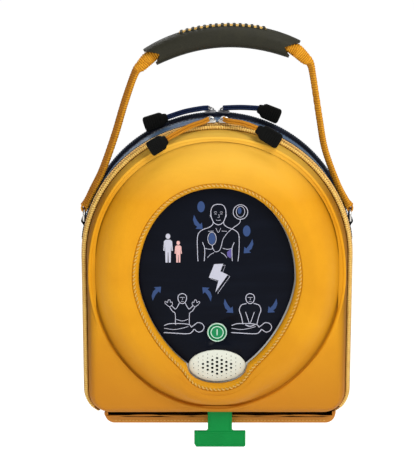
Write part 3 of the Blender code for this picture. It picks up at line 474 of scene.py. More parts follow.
class Bundle:
    """Many small closed shapes that become one piece."""

    def __init__(self):
        self.points, self.faces, self.uvs = [], [], []

    def add(self, points, faces, uvs=None):
        start = len(self.points)
        self.points += [tuple(point) for point in points]
        self.faces += [[start + i for i in face] for face in faces]
        self.uvs += uvs if uvs is not None else [(0.0, 0.0) for face in faces for _ in face]

    def rows(self, rows, **shape):
        self.add(*grid(rows, **shape))

    def make(self, name, finish, smooth_deg=40.0):
        return piece(name, self.points, self.faces, finish, self.uvs, smooth_deg)


def refine(rows, steps):
    """Rows on a Catmull-Rom curve through the given rows."""
    table = [np.array([tuple(point) for point in row], float) for row in rows]
    ends = [2 * table[0] - table[1], *table, 2 * table[-1] - table[-2]]
    fine = []
    for a, b, c, d in zip(ends, ends[1:], ends[2:], ends[3:]):
        for step in range(steps):
            t = step / steps
            fine.append(0.5 * (2 * b + (c - a) * t + (2 * a - 5 * b + 4 * c - d) * t * t
                               + (3 * b - a - 3 * c + d) * t ** 3))
    return fine + [table[-1]]


def smooth_path(points, steps):
    """A curve through the points, with steps places from each to the next."""
    return [Vector(row[0]) for row in refine([[point] for point in points], steps)]


def circle(radius, steps):
    """Evenly spaced places round a circle."""
    turn = 2 * math.pi / steps
    return [(radius * math.cos(turn * i), radius * math.sin(turn * i)) for i in range(steps)]


def headings(path):
    """(place, direction of travel) at each point of a path."""
    before, after = [path[0], *path[:-1]], [*path[1:], path[-1]]
    return [(place, (far - near).normalized()) for near, place, far in zip(before, path, after)]


def squared(c, s, power):
    """How far a rounded square reaches in the direction (c, s). The higher the power, the squarer it is."""
    return (abs(c) ** power + abs(s) ** power) ** (-1 / power)


def tube_rows(path, radius, sides=8, side=BACKWARDS, flat=1.0):
    """Sections across a path. flat squeezes them along side; radius is one number or one for each point."""
    rows = []
    for i, (place, ahead) in enumerate(headings(path)):
        across = ahead.cross(side).normalized()
        other = across.cross(ahead)
        size = radius[i] if isinstance(radius, list) else radius
        rows.append([place + across * x + other * y * flat for x, y in circle(size, sides)])
    return rows


def resample(path, pitch, closed=False):
    """Evenly spaced (place, direction) along a path."""
    table = np.array([tuple(point) for point in (list(path) + [path[0]] if closed else path)], float)
    steps = np.linalg.norm(np.diff(table, axis=0), axis=1)
    total = np.concatenate([[0.0], np.cumsum(steps)])
    count = max(2, int(round(total[-1] / pitch)))
    spots = (np.arange(count) + 0.5) * total[-1] / count
    found = []
    for spot in spots:
        i = min(int(np.searchsorted(total, spot, "right")) - 1, len(steps) - 1)
        share = (spot - total[i]) / steps[i]
        place = table[i] * (1 - share) + table[i + 1] * share
        found.append((Vector(place), Vector(table[i + 1] - table[i]).normalized()))
    return found


def sew(name, paths, stitch, normal, look, body, slot, closed=False, slant=0.0):
    """One piece of short threads along paths. normal gives the cloth's direction at a place."""
    threads = Bundle()
    for path in paths:
        add_stitches(threads, path, stitch, normal, closed, slant)
    finish_piece(threads.make(name, look), body, slot)


def add_stitches(bundle, path, stitch, normal, closed, slant):
    """Threads along one path, each dipping into the cloth at its ends."""
    pitch, length, radius = stitch
    arc = ((-0.5, -1.2), (-0.34, 0.35), (0.0, 0.6), (0.34, 0.35), (0.5, -1.2))
    for place, direction in resample(path, pitch, closed):
        up = normal(place)
        ahead = (direction + direction.cross(up) * slant).normalized()
        line = [place + ahead * length * share + up * radius * lift for share, lift in arc]
        bundle.rows(tube_rows(line, radius, 6, up), caps=True)


def block(size, centre=(0, 0, 0), bevel=0.0005, segments=2):
    """A bevelled block as points and faces."""
    work = bmesh.new()
    bmesh.ops.create_cube(work, size=1.0)
    bmesh.ops.scale(work, vec=size, verts=work.verts)
    bmesh.ops.bevel(work, geom=work.edges[:], offset=bevel, segments=segments, profile=0.5, affect="EDGES")
    bmesh.ops.translate(work, vec=centre, verts=work.verts)
    points = [vert.co.copy() for vert in work.verts]
    faces = [[vert.index for vert in face.verts] for face in work.faces]
    work.free()
    return points, faces


def mark(obj, name, values):
    """Gives each point a number that the materials read."""
    attribute = obj.data.attributes.new(name, "FLOAT", "POINT")
    attribute.data.foreach_set("value", np.asarray(values, np.float32))


def apply_boolean(target, cutter):
    """Cuts the cutter's shape out of the target and removes the cutter."""
    modifier = target.modifiers.new("cut", "BOOLEAN")
    modifier.object = cutter
    modifier.solver = "EXACT"
    graph = bpy.context.evaluated_depsgraph_get()
    cut = bpy.data.meshes.new_from_object(target.evaluated_get(graph))
    target.modifiers.clear()
    target.data = cut
    bpy.data.objects.remove(cutter)


def finish_piece(made, body, slot, *replaced):
    """Ties a piece to its body and hides the frame's nodes that it stands for. The slot is not used."""
    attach(made, body)
    if replaced:
        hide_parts(*replaced)
    return made


# ---------------------------------------------------------------- outlines


def arch_outline(inset, lift=0.0):
    """The closed case outline in X and Z, anticlockwise from its lower right. lift raises its floor."""
    radius = CASE_RADIUS - inset
    corner = max(CORNER_RADIUS - inset, 0.003)
    low = CASE_BOTTOM + inset + corner
    right = []
    for step in range(CORNER_STEPS + 1):
        angle = math.pi / 2 * (step / CORNER_STEPS - 1)
        raised = lift * math.sin(angle) ** 2
        right.append((radius - corner + corner * math.cos(angle), low + corner * math.sin(angle) + raised))
    right += [(radius, low + (ARCH_Z - low) * step / SIDE_STEPS) for step in range(1, SIDE_STEPS)]
    turns = [math.pi * step / ARC_STEPS for step in range(ARC_STEPS + 1)]
    arch = [(radius * math.cos(turn), ARCH_Z + radius * math.sin(turn)) for turn in turns]
    left = [(-x, z) for x, z in reversed(right)]
    shares = [2 * step / FLOOR_STEPS - 1 for step in range(1, FLOOR_STEPS)]
    floor = [((radius - corner) * share, CASE_BOTTOM + inset + lift) for share in shares]
    return right + arch + left + floor


ANGLES = [math.atan2(z - FACE_Z, x) for x, z in arch_outline(0.0)]


def outline_ring(inset, y, lift=0.0):
    """The case's outline at one depth."""
    return [(x, y, z) for x, z in arch_outline(inset, lift)]


def zip_line(inset, y, skip=0.4, lift=0.0):
    """The open stretch of the outline that a zip follows. skip is the share of the corners left out."""
    start = int(CORNER_STEPS * skip)
    end = 2 * (CORNER_STEPS + SIDE_STEPS) + ARC_STEPS + 1 - start
    return outline_ring(inset, y, lift)[start:end]


def oval_reach(oval, angle):
    """How far an oval reaches from its centre at an angle."""
    half_width, above, below, power_up, power_down = oval
    across, up = math.cos(angle), math.sin(angle)
    height, power = (above, power_up) if up >= 0 else (below, power_down)
    return ((abs(across) / half_width) ** power + (abs(up) / height) ** power) ** (-1 / power)


def oval_ring(oval, grow, y, angles=ANGLES, shift=0.0):
    """An oval at one depth, grown outwards and shifted to the side."""
    reach = [oval_reach(oval, angle) + grow for angle in angles]
    return [(shift + r * math.cos(a), y, FACE_Z + r * math.sin(a)) for r, a in zip(reach, angles)]


def grille_reach(angle):
    """How far the far side of the grille's oval lies from the window's centre."""
    half_x, half_z = (half + GRILLE_MARGIN for half in GRILLE_HALF)
    across, up = math.cos(angle) / half_x, math.sin(angle) / half_z
    drop = (GRILLE_Z - FACE_Z) / half_z
    a, b, c = across ** 2 + up ** 2, -2 * up * drop, drop ** 2 - 1
    root = b * b - 4 * a * c
    if root <= 0 or math.sin(angle) > 0:
        return 0.0
    return (-b + math.sqrt(root)) / (2 * a)


WINDOW_TURNS = np.linspace(-math.pi, math.pi, WINDOW_SAMPLES, endpoint=False)
WINDOW_REACH = np.array([max(oval_reach(WINDOW, turn), grille_reach(turn)) for turn in WINDOW_TURNS])


def window_ring(grow, y):
    """The window's edge: an egg that also goes round the grille below it, rounder the further out."""
    spread = 1.2 + 1400 * max(grow, 0.0)
    weights = np.exp(-0.5 * (np.arange(-SMOOTH_SPAN, SMOOTH_SPAN + 1) / spread) ** 2)
    smooth = np.convolve(np.pad(WINDOW_REACH, SMOOTH_SPAN, "wrap"), weights / weights.sum(), "valid") + grow
    reaches = np.interp(ANGLES, WINDOW_TURNS, smooth, period=2 * math.pi)
    return [(r * math.cos(a), y, FACE_Z + r * math.sin(a)) for r, a in zip(reaches, ANGLES)]


def mixed_ring(share, y):
    """A ring between the groove, at share 0, and the window's edge, at share 1."""
    outer, inner = np.array(oval_ring(GROOVE, 0.0, y)), np.array(window_ring(0.0, y))
    return outer * (1 - share) + inner * share


def forwards(place):
    """Out of the case's front, wherever the stitch lies."""
    return -BACKWARDS


def outwards(place):
    """Away from the case's middle line, in X and Z."""
    return Vector((place.x, 0, max(place.z - ARCH_Z, 0.0))).normalized()


# ---------------------------------------------------------------- front of the case


def make_front_shell():
    """The moulded front: flange, groove, bulge and the bed of the window's binding, each ring with its
    painted shade.
    """
    steps = 4
    rings = [(outline_ring(inset, y, FRONT_LIFT), shade) for inset, y, shade in (
        (0.0054, -0.0150, 1.0), (0.0054, -0.0185, 1.0), (0.0057, -0.0215, 1.0), (0.0065, -0.0240, 1.0),
        (0.0080, -0.0262, 0.85), (0.0104, -0.0279, 0.45), (0.0140, -0.0288, 0.12))]
    rings += [(oval_ring(GROOVE, grow, y), shade) for grow, y, shade in (
        (0.0040, -0.0293, 0.0), (0.0024, -0.0297, 0.0), (0.0011, -0.0288, 0.22), (0.0003, -0.0272, 0.80),
        (-0.0008, -0.0275, 0.78))]
    rings += [(mixed_ring(share, y), shade) for share, y, shade in (
        (0.06, -0.0298, 0.40), (0.12, -0.0331, 0.22), (0.22, -0.0383, 0.10), (0.36, -0.0429, 0.02),
        (0.53, -0.0453, 0.0), (0.66, -0.0453, 0.0))]
    rings += [(window_ring(grow, y), shade) for grow, y, shade in (
        (0.0095, -0.0446, 0.0), (0.0060, -0.0438, 0.05), (0.0050, -0.0428, 0.30), (0.0016, -0.0372, 0.7))]
    inside = [window_ring(0.0016, -0.0340)]
    inside += [mixed_ring(share, y) for share, y in ((0.55, -0.0352), (0.20, -0.0310), (0.0, -0.0240))]
    inside += [outline_ring(inset, y, FRONT_LIFT)
               for inset, y in ((0.0125, -0.0240), (0.0096, -0.0205), (0.0088, -0.0150))]
    outside = refine([ring for ring, _ in rings], steps)
    rows = outside + refine(inside, 2)
    shades = np.interp(np.arange(len(outside)) / steps, range(len(rings)), [shade for _, shade in rings])
    shades = np.concatenate([shades, np.full(len(rows) - len(outside), 0.3)])
    shell = loft("moulded_front_shell", rows, "shell_cloth", loop=True)
    soften(shell, 0.00035, 45.0)
    # Painted shade in the valley inside the piping, in the groove and in the bed of the binding.
    mark(shell, "painted_shade", np.repeat(shades, len(ANGLES)))
    notch = block((0.093, 0.0116, 0.03), (0, -0.0188, CASE_BOTTOM + 0.0025), 0.002)
    apply_boolean(shell, piece("notch", *notch, "shell_cloth"))
    shell.data.set_sharp_from_angle(angle=math.radians(45))
    finish_piece(shell, "front_flap", "yellow_shell", "front_shell")


def soften(obj, amount, scale):
    """Small uneven swells, as cloth over foam has."""
    aside = Vector((9, 3, 5))
    for vertex in obj.data.vertices:
        vertex.co.y += noise.noise(vertex.co * scale) * amount
        vertex.co.x += noise.noise(vertex.co * scale + aside) * amount * 0.3


def make_window_edge():
    """The rolled binding round the window, with a row of thread in the crease at its outer side."""
    front = [(0.0048, -0.0424), (0.0044, -0.0431), (0.0038, -0.0432), (0.0031, -0.0428), (0.0025, -0.0427),
             (0.0018, -0.0421), (0.0010, -0.0411), (0.0004, -0.0399), (-0.0001, -0.0385),
             (-0.0004, -0.0366), (-0.0002, -0.0342)]
    back = [(0.0010, -0.0340), (0.0012, -0.0375), (0.0044, -0.0400)]
    rows = refine([window_ring(grow, y) for grow, y in front], 3)
    rows += [window_ring(grow, y) for grow, y in back]
    edge = loft("window_binding_roll", rows, "edge_cloth", loop=True)
    soften(edge, 0.0003, 120.0)
    # Painted shade in the binding's creases, deepest at its back.
    shades = [0.35] * 2 + [0.0] * 3 + [0.22] * 8 + [0.0] * 15
    shades += [0.7] * (len(rows) - len(shades))
    mark(edge, "painted_shade", np.repeat(shades, len(ANGLES)))
    finish_piece(edge, "front_flap", "yellow_edge", "window_binding")
    sew("window_stitching", [window_ring(0.0035, -0.0431)], WINDOW_STITCH, forwards,
        "thread_yellow", "front_flap", "yellow_edge", True, 0.7)


def make_piping(name, inset, y, radius, finish, body, slot, node, lift=0.0, skip=0.0):
    """A cord along the case's edge with a twisted cover. It stops at the corners where skip says so."""
    path = zip_line(inset, y, skip, lift) if skip else outline_ring(inset, y, lift)
    sides, twist_steps = 10, 4
    rows = []
    for i, (place, ahead) in enumerate(resample(path, PIPING_STEP, closed=not skip)):
        across = ahead.cross(BACKWARDS).normalized()
        row = []
        for k in range(sides):
            angle = 2 * math.pi * k / sides
            size = radius * (1 + 0.16 * math.sin(2 * math.pi * i / twist_steps + angle))
            row.append(place + across * size * math.cos(angle) + BACKWARDS * size * math.sin(angle))
        rows.append(row)
    cord = loft(name, rows, finish, 80.0, loop=not skip, caps=bool(skip))
    finish_piece(cord, body, slot, node)


def make_tape(name, profile, finish, body, slot, node):
    """A zip tape along the zip's stretch of the outline, from a closed profile of (inset, y)."""
    rows = list(zip(*(zip_line(inset, y) for inset, y in profile)))
    finish_piece(loft(name, rows, finish, caps=True), body, slot, node)


def make_teeth(name, y, reach, offset, inset, finish, body, slot):
    """One side of a zip's coil: small rounded teeth along the outline."""
    teeth = Bundle()
    section = ((1, 0.5), (0.5, 1), (-0.5, 1), (-1, 0.5), (-1, -0.8), (1, -0.8))
    stations = ((-0.5, 0.00062, 0.00080), (0.25, 0.00062, 0.00095), (0.5, 0.00032, 0.00056))
    for place, ahead in resample(zip_line(inset, y), TOOTH_PITCH):
        out = outwards(place)
        rows = []
        for share, half, tall in stations:
            middle = place + ahead * offset * TOOTH_PITCH + BACKWARDS * reach * share
            rows.append([middle + ahead * a * half + out * b * tall for a, b in section])
        teeth.rows(rows, caps=True)
    finish_piece(teeth.make(name, finish, 60.0), body, slot)


def make_front_zip():
    """The front zip: edge piping, the tapes of flap and band, two rows of teeth and a row of thread."""
    make_piping("front_edge_piping", 0.0034, -0.0184, 0.0016, "piping_yellow", "front_flap", "yellow_edge",
                "front_piping", FRONT_LIFT, 0.55)
    make_tape("front_flap_zip_tape",
              [(0.0034, -0.0166), (0.0024, -0.0153), (0.0019, -0.0142), (0.0022, -0.0128),
               (0.0032, -0.0130), (0.0052, -0.0160)], "zip_cloth", "front_flap", "yellow_webbing",
               "front_zip_flap_tape")
    make_tape("front_case_zip_tape",
              [(0.0012, -0.0113), (0.0003, -0.0104), (0.0003, -0.0092), (0.0014, -0.0084),
               (0.0036, -0.0084), (0.0020, -0.0112)], "navy_edge", "case", "dark_zip",
               "front_zip_band_tape")
    make_teeth("front_flap_teeth", -0.0132, 0.0019, 0.0, 0.0014, "zip_teeth_yellow", "front_flap",
               "yellow_webbing")
    make_teeth("front_case_teeth", -0.0113, -0.0018, 0.5, 0.0014, "zip_teeth_yellow", "case", "dark_zip")
    sew("front_tape_stitching", [zip_line(0.0020, -0.0148)], TAPE_STITCH, outwards,
        "thread_yellow", "front_flap", "yellow_webbing")


# ---------------------------------------------------------------- middle and rear of the case


def make_band():
    """The woven band round the middle, with soft folds, a hem at each edge and rows of thread."""
    count, hem = 14, 0.16
    width = BAND_REAR_Y - BAND_FRONT_Y
    rows = []
    for step in range(count + 1):
        share = step / count
        near = min(share, 1 - share)
        belly = 0.0014 * math.sin(math.pi * share) ** 0.6 - 0.0007 * math.exp(-((near - hem) / 0.04) ** 2)
        rows.append(outline_ring(BAND_INSET + 0.0004 - belly, BAND_FRONT_Y + width * share))
    rows += [outline_ring(BAND_INSET + 0.0025, y) for y in (BAND_REAR_Y, BAND_FRONT_Y)]
    band = loft("middle_band_cloth", rows, "band_cloth", loop=True)
    soften(band, 0.0003, 60.0)
    # Painted shade along the folds by each hem.
    shades = [0.6 * math.exp(-((min(i, count - i) - hem * count) / 0.8) ** 2) for i in range(count + 1)]
    mark(band, "painted_shade", np.repeat(shades + [0.2, 0.2], len(ANGLES)))
    finish_piece(band, "case", "blue_band", "middle_band")
    paths = [outline_ring(BAND_INSET, BAND_FRONT_Y + width * share) for share in (0.11, 0.89)]
    sew("band_stitching", paths, BAND_STITCH, outwards, "thread_dark", "case", "blue_band",
        True)


def make_rear_zip():
    """The rear zip: edge piping, the tapes of flap and band and two rows of teeth."""
    make_piping("rear_edge_piping", 0.0022, REAR_FLAP_Y + 0.0021, 0.0016, "navy_edge", "rear_flap",
                "dark_zip", "rear_piping")
    make_tape("rear_case_zip_tape",
              [(0.0028, 0.0274), (0.0016, 0.0280), (0.0009, 0.0288), (0.0012, 0.0299), (0.0026, 0.0300)],
              "navy_edge", "case", "dark_zip", "rear_zip_band_tape")
    make_tape("rear_flap_zip_tape",
              [(0.0012, 0.0314), (0.0009, 0.0326), (0.0016, 0.0338), (0.0028, 0.0343), (0.0028, 0.0314)],
              "navy_edge", "rear_flap", "dark_zip", "rear_zip_flap_tape")
    make_teeth("rear_case_teeth", 0.0298, 0.0018, 0.0, 0.0002, "zip_teeth_black", "case", "dark_zip")
    make_teeth("rear_flap_teeth", 0.0317, -0.0018, 0.5, 0.0002, "zip_teeth_black", "rear_flap", "dark_zip")


def swell(obj, pressure, cap, free, frames=20):
    """Lets a closed shape swell as filled cloth. No point moves more than cap times its share in free."""
    start = np.array([tuple(vertex.co) for vertex in obj.data.vertices])
    cloth = obj.modifiers.new("cloth", "CLOTH")
    cloth.settings.use_pressure = True
    cloth.settings.uniform_pressure_force = pressure
    cloth.settings.effector_weights.gravity = 0
    cloth.settings.tension_stiffness = 25
    cloth.settings.compression_stiffness = 25
    cloth.settings.bending_stiffness = 2
    cloth.point_cache.frame_start, cloth.point_cache.frame_end = 1, frames
    for number in range(1, frames + 1):
        bpy.context.scene.frame_set(number)
    graph = bpy.context.evaluated_depsgraph_get()
    moved = np.array([tuple(vertex.co) for vertex in obj.evaluated_get(graph).data.vertices]) - start
    obj.modifiers.clear()
    bpy.context.scene.frame_set(1)
    length = np.linalg.norm(moved, axis=1, keepdims=True)
    moved *= np.minimum(1.0, cap / np.maximum(length, 1e-9))
    placed = start + moved * free(start)
    obj.data.vertices.foreach_set("co", placed.astype(np.float32).ravel())
    obj.data.update()


def make_rear_shell():
    """The rear pocket's lid: a soft bowl that swells a little between its seams."""
    face, rim, wall = REAR_FACE_Y, REAR_FLAP_Y, 0.0030
    middle = (0.1190, 0.1100, 0.0980, 0.0860, 0.0740, 0.0620, 0.0500, 0.0400, 0.0310, 0.0240)
    rows = [outline_ring(inset, face - 0.0006 + 0.0006 * math.sin(inset * 60)) for inset in middle]
    rows += [outline_ring(inset, start + deep) for inset, start, deep in (
        (0.0190, face, -0.0003), (0.0135, face, -0.0012), (0.0085, face, -0.0040), (0.0052, face, -0.0085),
        (0.0034, face, -0.0140), (0.0036, rim, 0.0065), (0.0046, rim, 0.0025), (0.0050, rim, 0.0003),
        (0.0070, rim, 0.0003), (0.0064, face, -0.0145), (0.0110, face, -0.0060),
        (0.0180, face - wall, -0.0006))]
    rows += [outline_ring(inset, face - wall) for inset in reversed(middle)]
    shell = loft("rear_pocket_lid", rows, "navy_cloth", caps=True)
    swell(shell, 4.0, 0.0018, lambda places: np.clip((places[:, 1:2] - rim - 0.004) / 0.008, 0.0, 1.0))
    soften(shell, 0.0007, 28.0)
    finish_piece(shell, "rear_flap", "dark_fabric", "rear_shell")
    sew("rear_stitching", [outline_ring(0.0046, rim + 0.0070)], LID_STITCH, outwards,
        "thread_dark", "rear_flap", "dark_fabric", True)


def make_divider():
    """The padded wall behind the device, quilted by a row of thread, with a bound edge."""
    middle = (PANEL_LOW.y + PANEL_HIGH.y) / 2
    half = (PANEL_HIGH.y - PANEL_LOW.y) / 2
    edge = BAND_INSET + 0.0030
    profile = [(0.060, 0.85), (0.040, 0.95), (0.026, 0.9), (0.0185, 0.55), (0.0160, 0.45), (0.0135, 0.7),
               (0.0095, 0.9), (edge + 0.0012, 0.8), (edge, 0.3)]
    rows = [outline_ring(inset, middle - half * share) for inset, share in profile]
    rows += [outline_ring(inset, middle + half * share) for inset, share in reversed(profile)]
    panel = loft("padded_divider", refine(rows, 2), "lining_cloth", caps=True)
    finish_piece(panel, "case", "dark_fabric", "divider_panel")
    paths = [outline_ring(0.0160, middle + side * half * 0.48) for side in (-1, 1)]
    sew("divider_stitching", paths, QUILT_STITCH,
        lambda place: BACKWARDS * math.copysign(1, place.y - middle), "thread_dark", "case",
        "dark_fabric", True)


def ledge_section(left, right, low, high, y):
    """One closed section of the base: ends that turn up over rounded corners, and a slightly wavy top."""
    steps, floor_steps, top_steps = 10, 12, 24
    turns = [math.pi / 2 * k / steps for k in range(steps + 1)]
    end = [(0.0, high - low), (0.0, (high - low + LEDGE_CORNER) / 2)]
    end += [(LEDGE_CORNER * (1 - math.cos(turn)), LEDGE_CORNER * (1 - math.sin(turn))) for turn in turns]
    flat = right - left - 2 * LEDGE_CORNER
    section = [(left + x, y, low + z) for x, z in end]
    section += [(left + LEDGE_CORNER + flat * k / floor_steps, y, low) for k in range(1, floor_steps)]
    section += [(right - x, y, low + z) for x, z in reversed(end)]
    section += [(right + (left - right) * k / top_steps, y, high - 0.0005 * math.sin(k * 1.9) ** 2)
                for k in range(1, top_steps)]
    return section


def make_ledge():
    """The padded base under the case, with a rolled lip that turns up at its ends and a row of thread."""
    left, right, top = LEDGE_LOW.x, LEDGE_HIGH.x, LEDGE_HIGH.z
    bottom = LEDGE_LOW.z - 0.0006
    front, back = LEDGE_LOW.y - 0.0030, LEDGE_HIGH.y
    stations = [(front, 0.0032, 0.0022), (front + 0.0003, 0.0012, 0.0018), (front + 0.0012, 0.0002, 0.0014),
                (front + 0.0028, 0.0, 0.0012), (front + 0.0040, 0.0009, 0.0012),
                (front + 0.0052, 0.0002, 0.0008), ((front + back) / 2, 0.0, 0.0),
                (back - 0.0052, 0.0002, 0.0), (back - 0.0040, 0.0009, 0.0), (back - 0.0028, 0.0, 0.0),
                (back - 0.0012, 0.0002, 0.0), (back - 0.0003, 0.0012, 0.0), (back, 0.0030, 0.0)]
    rows = [ledge_section(left + inset, right - inset, bottom + inset, top - drop - inset * 0.5, y)
            for y, inset, drop in stations]
    ledge = loft("padded_base_ledge", rows, "ledge_cloth", caps=True)
    finish_piece(ledge, "case", "yellow_shell", "base_ledge")
    lip_z, lip_y = top - 0.0029, front + 0.0009
    path = [Vector((left + 0.0010, lip_y, lip_z + 0.0034)), Vector((left + 0.0009, lip_y, lip_z + 0.0014))]
    path += [Vector((x, lip_y + 0.0002 * math.sin(x * 210), lip_z + 0.00035 * math.sin(x * 90 + 1.0)))
             for x in np.linspace(left + 0.0020, right - 0.0030, 60)]
    path += [Vector((right - 0.0012, lip_y, lip_z + 0.0016)),
             Vector((right - 0.0010, lip_y, lip_z + 0.0046))]
    lip = loft("base_ledge_lip", tube_rows(smooth_path(path, 2), 0.0012, 12), "ledge_cloth", caps=True)
    finish_piece(lip, "case", "yellow_shell")
    seam = [(x, front + 0.0001, bottom + 0.0030)
            for x in np.linspace(left + LEDGE_CORNER, right - LEDGE_CORNER, 30)]
    sew("ledge_stitching", [seam], LEDGE_STITCH, forwards, "thread_yellow", "case",
        "yellow_shell")


def make_hinge_strips():
    """The sewn fold that each flap turns on: a rolled cord and, behind it, a strip up to the band."""
    for name, node, y, towards in (("front_hinge_fold", "front_hinge_strip", FRONT_ZIP_Y, 1),
                                   ("rear_hinge_fold", "rear_hinge_strip", REAR_ZIP_Y, -1)):
        low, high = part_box(node)
        middle = (low.z + high.z) / 2
        near, far = y + towards * 0.0012, y + towards * 0.0020
        fold = Bundle()
        path = [Vector((x, y + 0.00012 * math.sin(x * 400), middle + 0.00015 * math.sin(x * 310)))
                for x in np.linspace(low.x, high.x, 90)]
        fold.rows(tube_rows(path, 0.00095), caps=True)
        rows = []
        for x in np.linspace(low.x, high.x, 80):
            wave = 0.0004 * math.sin(x * 170) + 0.0002 * math.sin(x * 410)
            rows.append([(x, across, middle + up) for across, up in (
                (near, 0), (near + wave, 0.0025), (near + wave, 0.0050), (far, 0.0052),
                (far + wave, 0.0025), (far, 0))])
        fold.rows(rows, caps=True)
        finish_piece(fold.make(name, "navy_edge"), "case", "dark_fabric", node)


# ---------------------------------------------------------------- zip sliders and pulls


# From each slider's bail along its cord; the last two points are the ends of the grip
PULL_ROUTES = {
    "front_left": ((-0.0078, -0.0175, -0.0705), (-0.0130, -0.0245, -0.0716), (-0.0250, -0.0305, -0.0748),
                   (-0.0420, -0.0338, -0.0834), (-0.0446, -0.0343, -0.0852), (-0.0590, -0.0362, -0.0938)),
    "front_right": ((0.0055, -0.0175, -0.0705), (0.0105, -0.0240, -0.0708), (0.0220, -0.0290, -0.0718),
                    (0.0330, -0.0318, -0.0752), (0.0353, -0.0322, -0.0765), (0.0540, -0.0345, -0.0875)),
    "rear_left": ((-0.0078, 0.0255, -0.0688), (-0.0140, 0.0240, -0.0690), (-0.0290, 0.0225, -0.0716),
                  (-0.0430, 0.0215, -0.0760), (-0.0456, 0.0213, -0.0770), (-0.0652, 0.0205, -0.0834)),
    "rear_right": ((0.0055, 0.0255, -0.0688), (0.0110, 0.0245, -0.0684), (0.0220, 0.0235, -0.0680),
                   (0.0350, 0.0228, -0.0685), (0.0376, 0.0226, -0.0690), (0.0560, 0.0220, -0.0765)),
}


# What differs between the two zips
ZIPS = {
    "front": {"y": FRONT_ZIP_Y, "metal": "steel", "slider_slot": "steel", "cord": "cord_yellow",
              "cord_slot": "yellow_webbing"},
    "rear": {"y": REAR_ZIP_Y, "metal": "black_metal", "slider_slot": "black_plastic", "cord": "cord_blue",
             "cord_slot": "dark_fabric"},
}


def make_slider(label, zipper, side):
    """A zip slider: two plates round the coil, a waisted top, and a bail that holds the pull."""
    parts = Bundle()
    parts.add(*block((0.0104, 0.0062, 0.0012), (0, 0, 0.0011), 0.0004))
    parts.add(*block((0.0070, 0.0044, 0.0008), (0, 0, 0.0020), 0.0003))
    for edge in (-1, 1):
        parts.add(*block((0.0096, 0.0006, 0.0014), (0, edge * 0.0031, 0.0006), 0.0002))
    bridge = [Vector((x, 0, z)) for x, z in (
        (-0.0034, 0.0018), (-0.0030, 0.0034), (-0.0016, 0.0043), (0.0, 0.0045), (0.0016, 0.0043),
        (0.0030, 0.0034), (0.0034, 0.0018))]
    parts.rows(tube_rows(smooth_path(bridge, 4), 0.0007, flat=1.7), caps=True)
    made = parts.make(f"slider_{label}", zipper["metal"])
    turn = Matrix.Rotation(side * SLIDER_OFFSET / CASE_RADIUS, 4, "Y")
    place = Matrix.Translation((0, zipper["y"], ARCH_Z))
    made.data.transform(place @ turn @ Matrix.Translation((0, 0, CASE_RADIUS)))
    finish_piece(made, f"slider_{label}", zipper["slider_slot"], f"zip_slider_{label}")


def make_pull_loop(label, zipper, route):
    """Two strands of cord side by side from the slider's bail to the grip."""
    path = smooth_path([Vector(point) for point in route[:-1]], 6)
    strands = Bundle()
    for side in (-1, 1):
        line = []
        for i, (place, ahead) in enumerate(headings(path)):
            spread = 0.0011 + 0.0001 * math.sin(math.pi * i / (len(path) - 1))
            line.append(place + ahead.cross(BACKWARDS).normalized() * side * spread)
        strands.rows(tube_rows(line, 0.00122, 10), caps=True)
    finish_piece(strands.make(f"pull_cord_{label}", zipper["cord"]), f"pull_{label}", zipper["cord_slot"],
                 f"pull_loop_{label}")


def make_pull_link(label, zipper, start):
    """The wire link that joins the cord's end to the slider's bail."""
    joint = Vector(JOINTS[f"pull_{label}_lift"]["pos_m"])
    away = joint - start
    loop = [start + away * share + Vector((0, 0, up)) for share, up in (
        (0.0, -0.0012), (0.4, -0.0014), (1.0, -0.0006), (1.12, 0.0006), (1.0, 0.00144), (0.4, 0.0016),
        (0.0, 0.00112), (-0.12, 0.0))]
    link = Bundle()
    link.rows(tube_rows(smooth_path(loop + loop[:2], 4)[4:-4], 0.00055, 7), caps=True)
    finish_piece(link.make(f"pull_link_{label}", zipper["metal"]), f"pull_{label}", "steel")


def make_pull_grip(label, start, end):
    """A flat moulded grip with a collar at the cord, ribs across its face and rounded corners."""
    length = (end - start).length
    ahead = (end - start).normalized()
    across = ahead.cross(BACKWARDS).normalized()
    through = ahead.cross(across)
    sides, ribs = 20, 13
    stations = [(-0.06, 0.0024, 0.0018), (-0.03, 0.0036, 0.0024), (0.06, 0.0042, 0.0026),
                (0.12, 0.0044, 0.0026), (0.17, 0.0057, 0.0029), (0.23, 0.0064, 0.0031)]
    for step in range(ribs):
        share = 0.27 + step * 0.051
        stations.append((share, 0.0065 + 0.0004 * share, 0.0031 - 0.0004 * (step % 2)))
    stations += [(0.93, 0.0067, 0.0030), (0.98, 0.0061, 0.0027), (1.01, 0.0048, 0.0020),
                 (1.02, 0.0030, 0.0010)]
    turns = [2 * math.pi * (step + 0.5) / sides for step in range(sides)]
    directions = [(math.cos(turn), math.sin(turn)) for turn in turns]
    rows = []
    for share, half, thick in stations:
        middle = start + ahead * length * share
        rows.append([middle + (across * half * c + through * thick * s) * squared(c, s, 4.5)
                     for c, s in directions])
    finish_piece(loft(f"moulded_pull_{label}", rows, "pull_rubber", 28.0, caps=True), f"pull_{label}",
                 "black_rubber", f"pull_grip_{label}")


def make_pulls():
    """Four sliders, each with its link, cord and grip."""
    for label, route in PULL_ROUTES.items():
        zip_name, side_name = label.split("_")
        zipper = ZIPS[zip_name]
        make_slider(label, zipper, -1 if side_name == "left" else 1)
        make_pull_loop(label, zipper, route)
        make_pull_link(label, zipper, Vector(route[0]))
        make_pull_grip(label, Vector(route[-2]), Vector(route[-1]))


# ---------------------------------------------------------------- handle


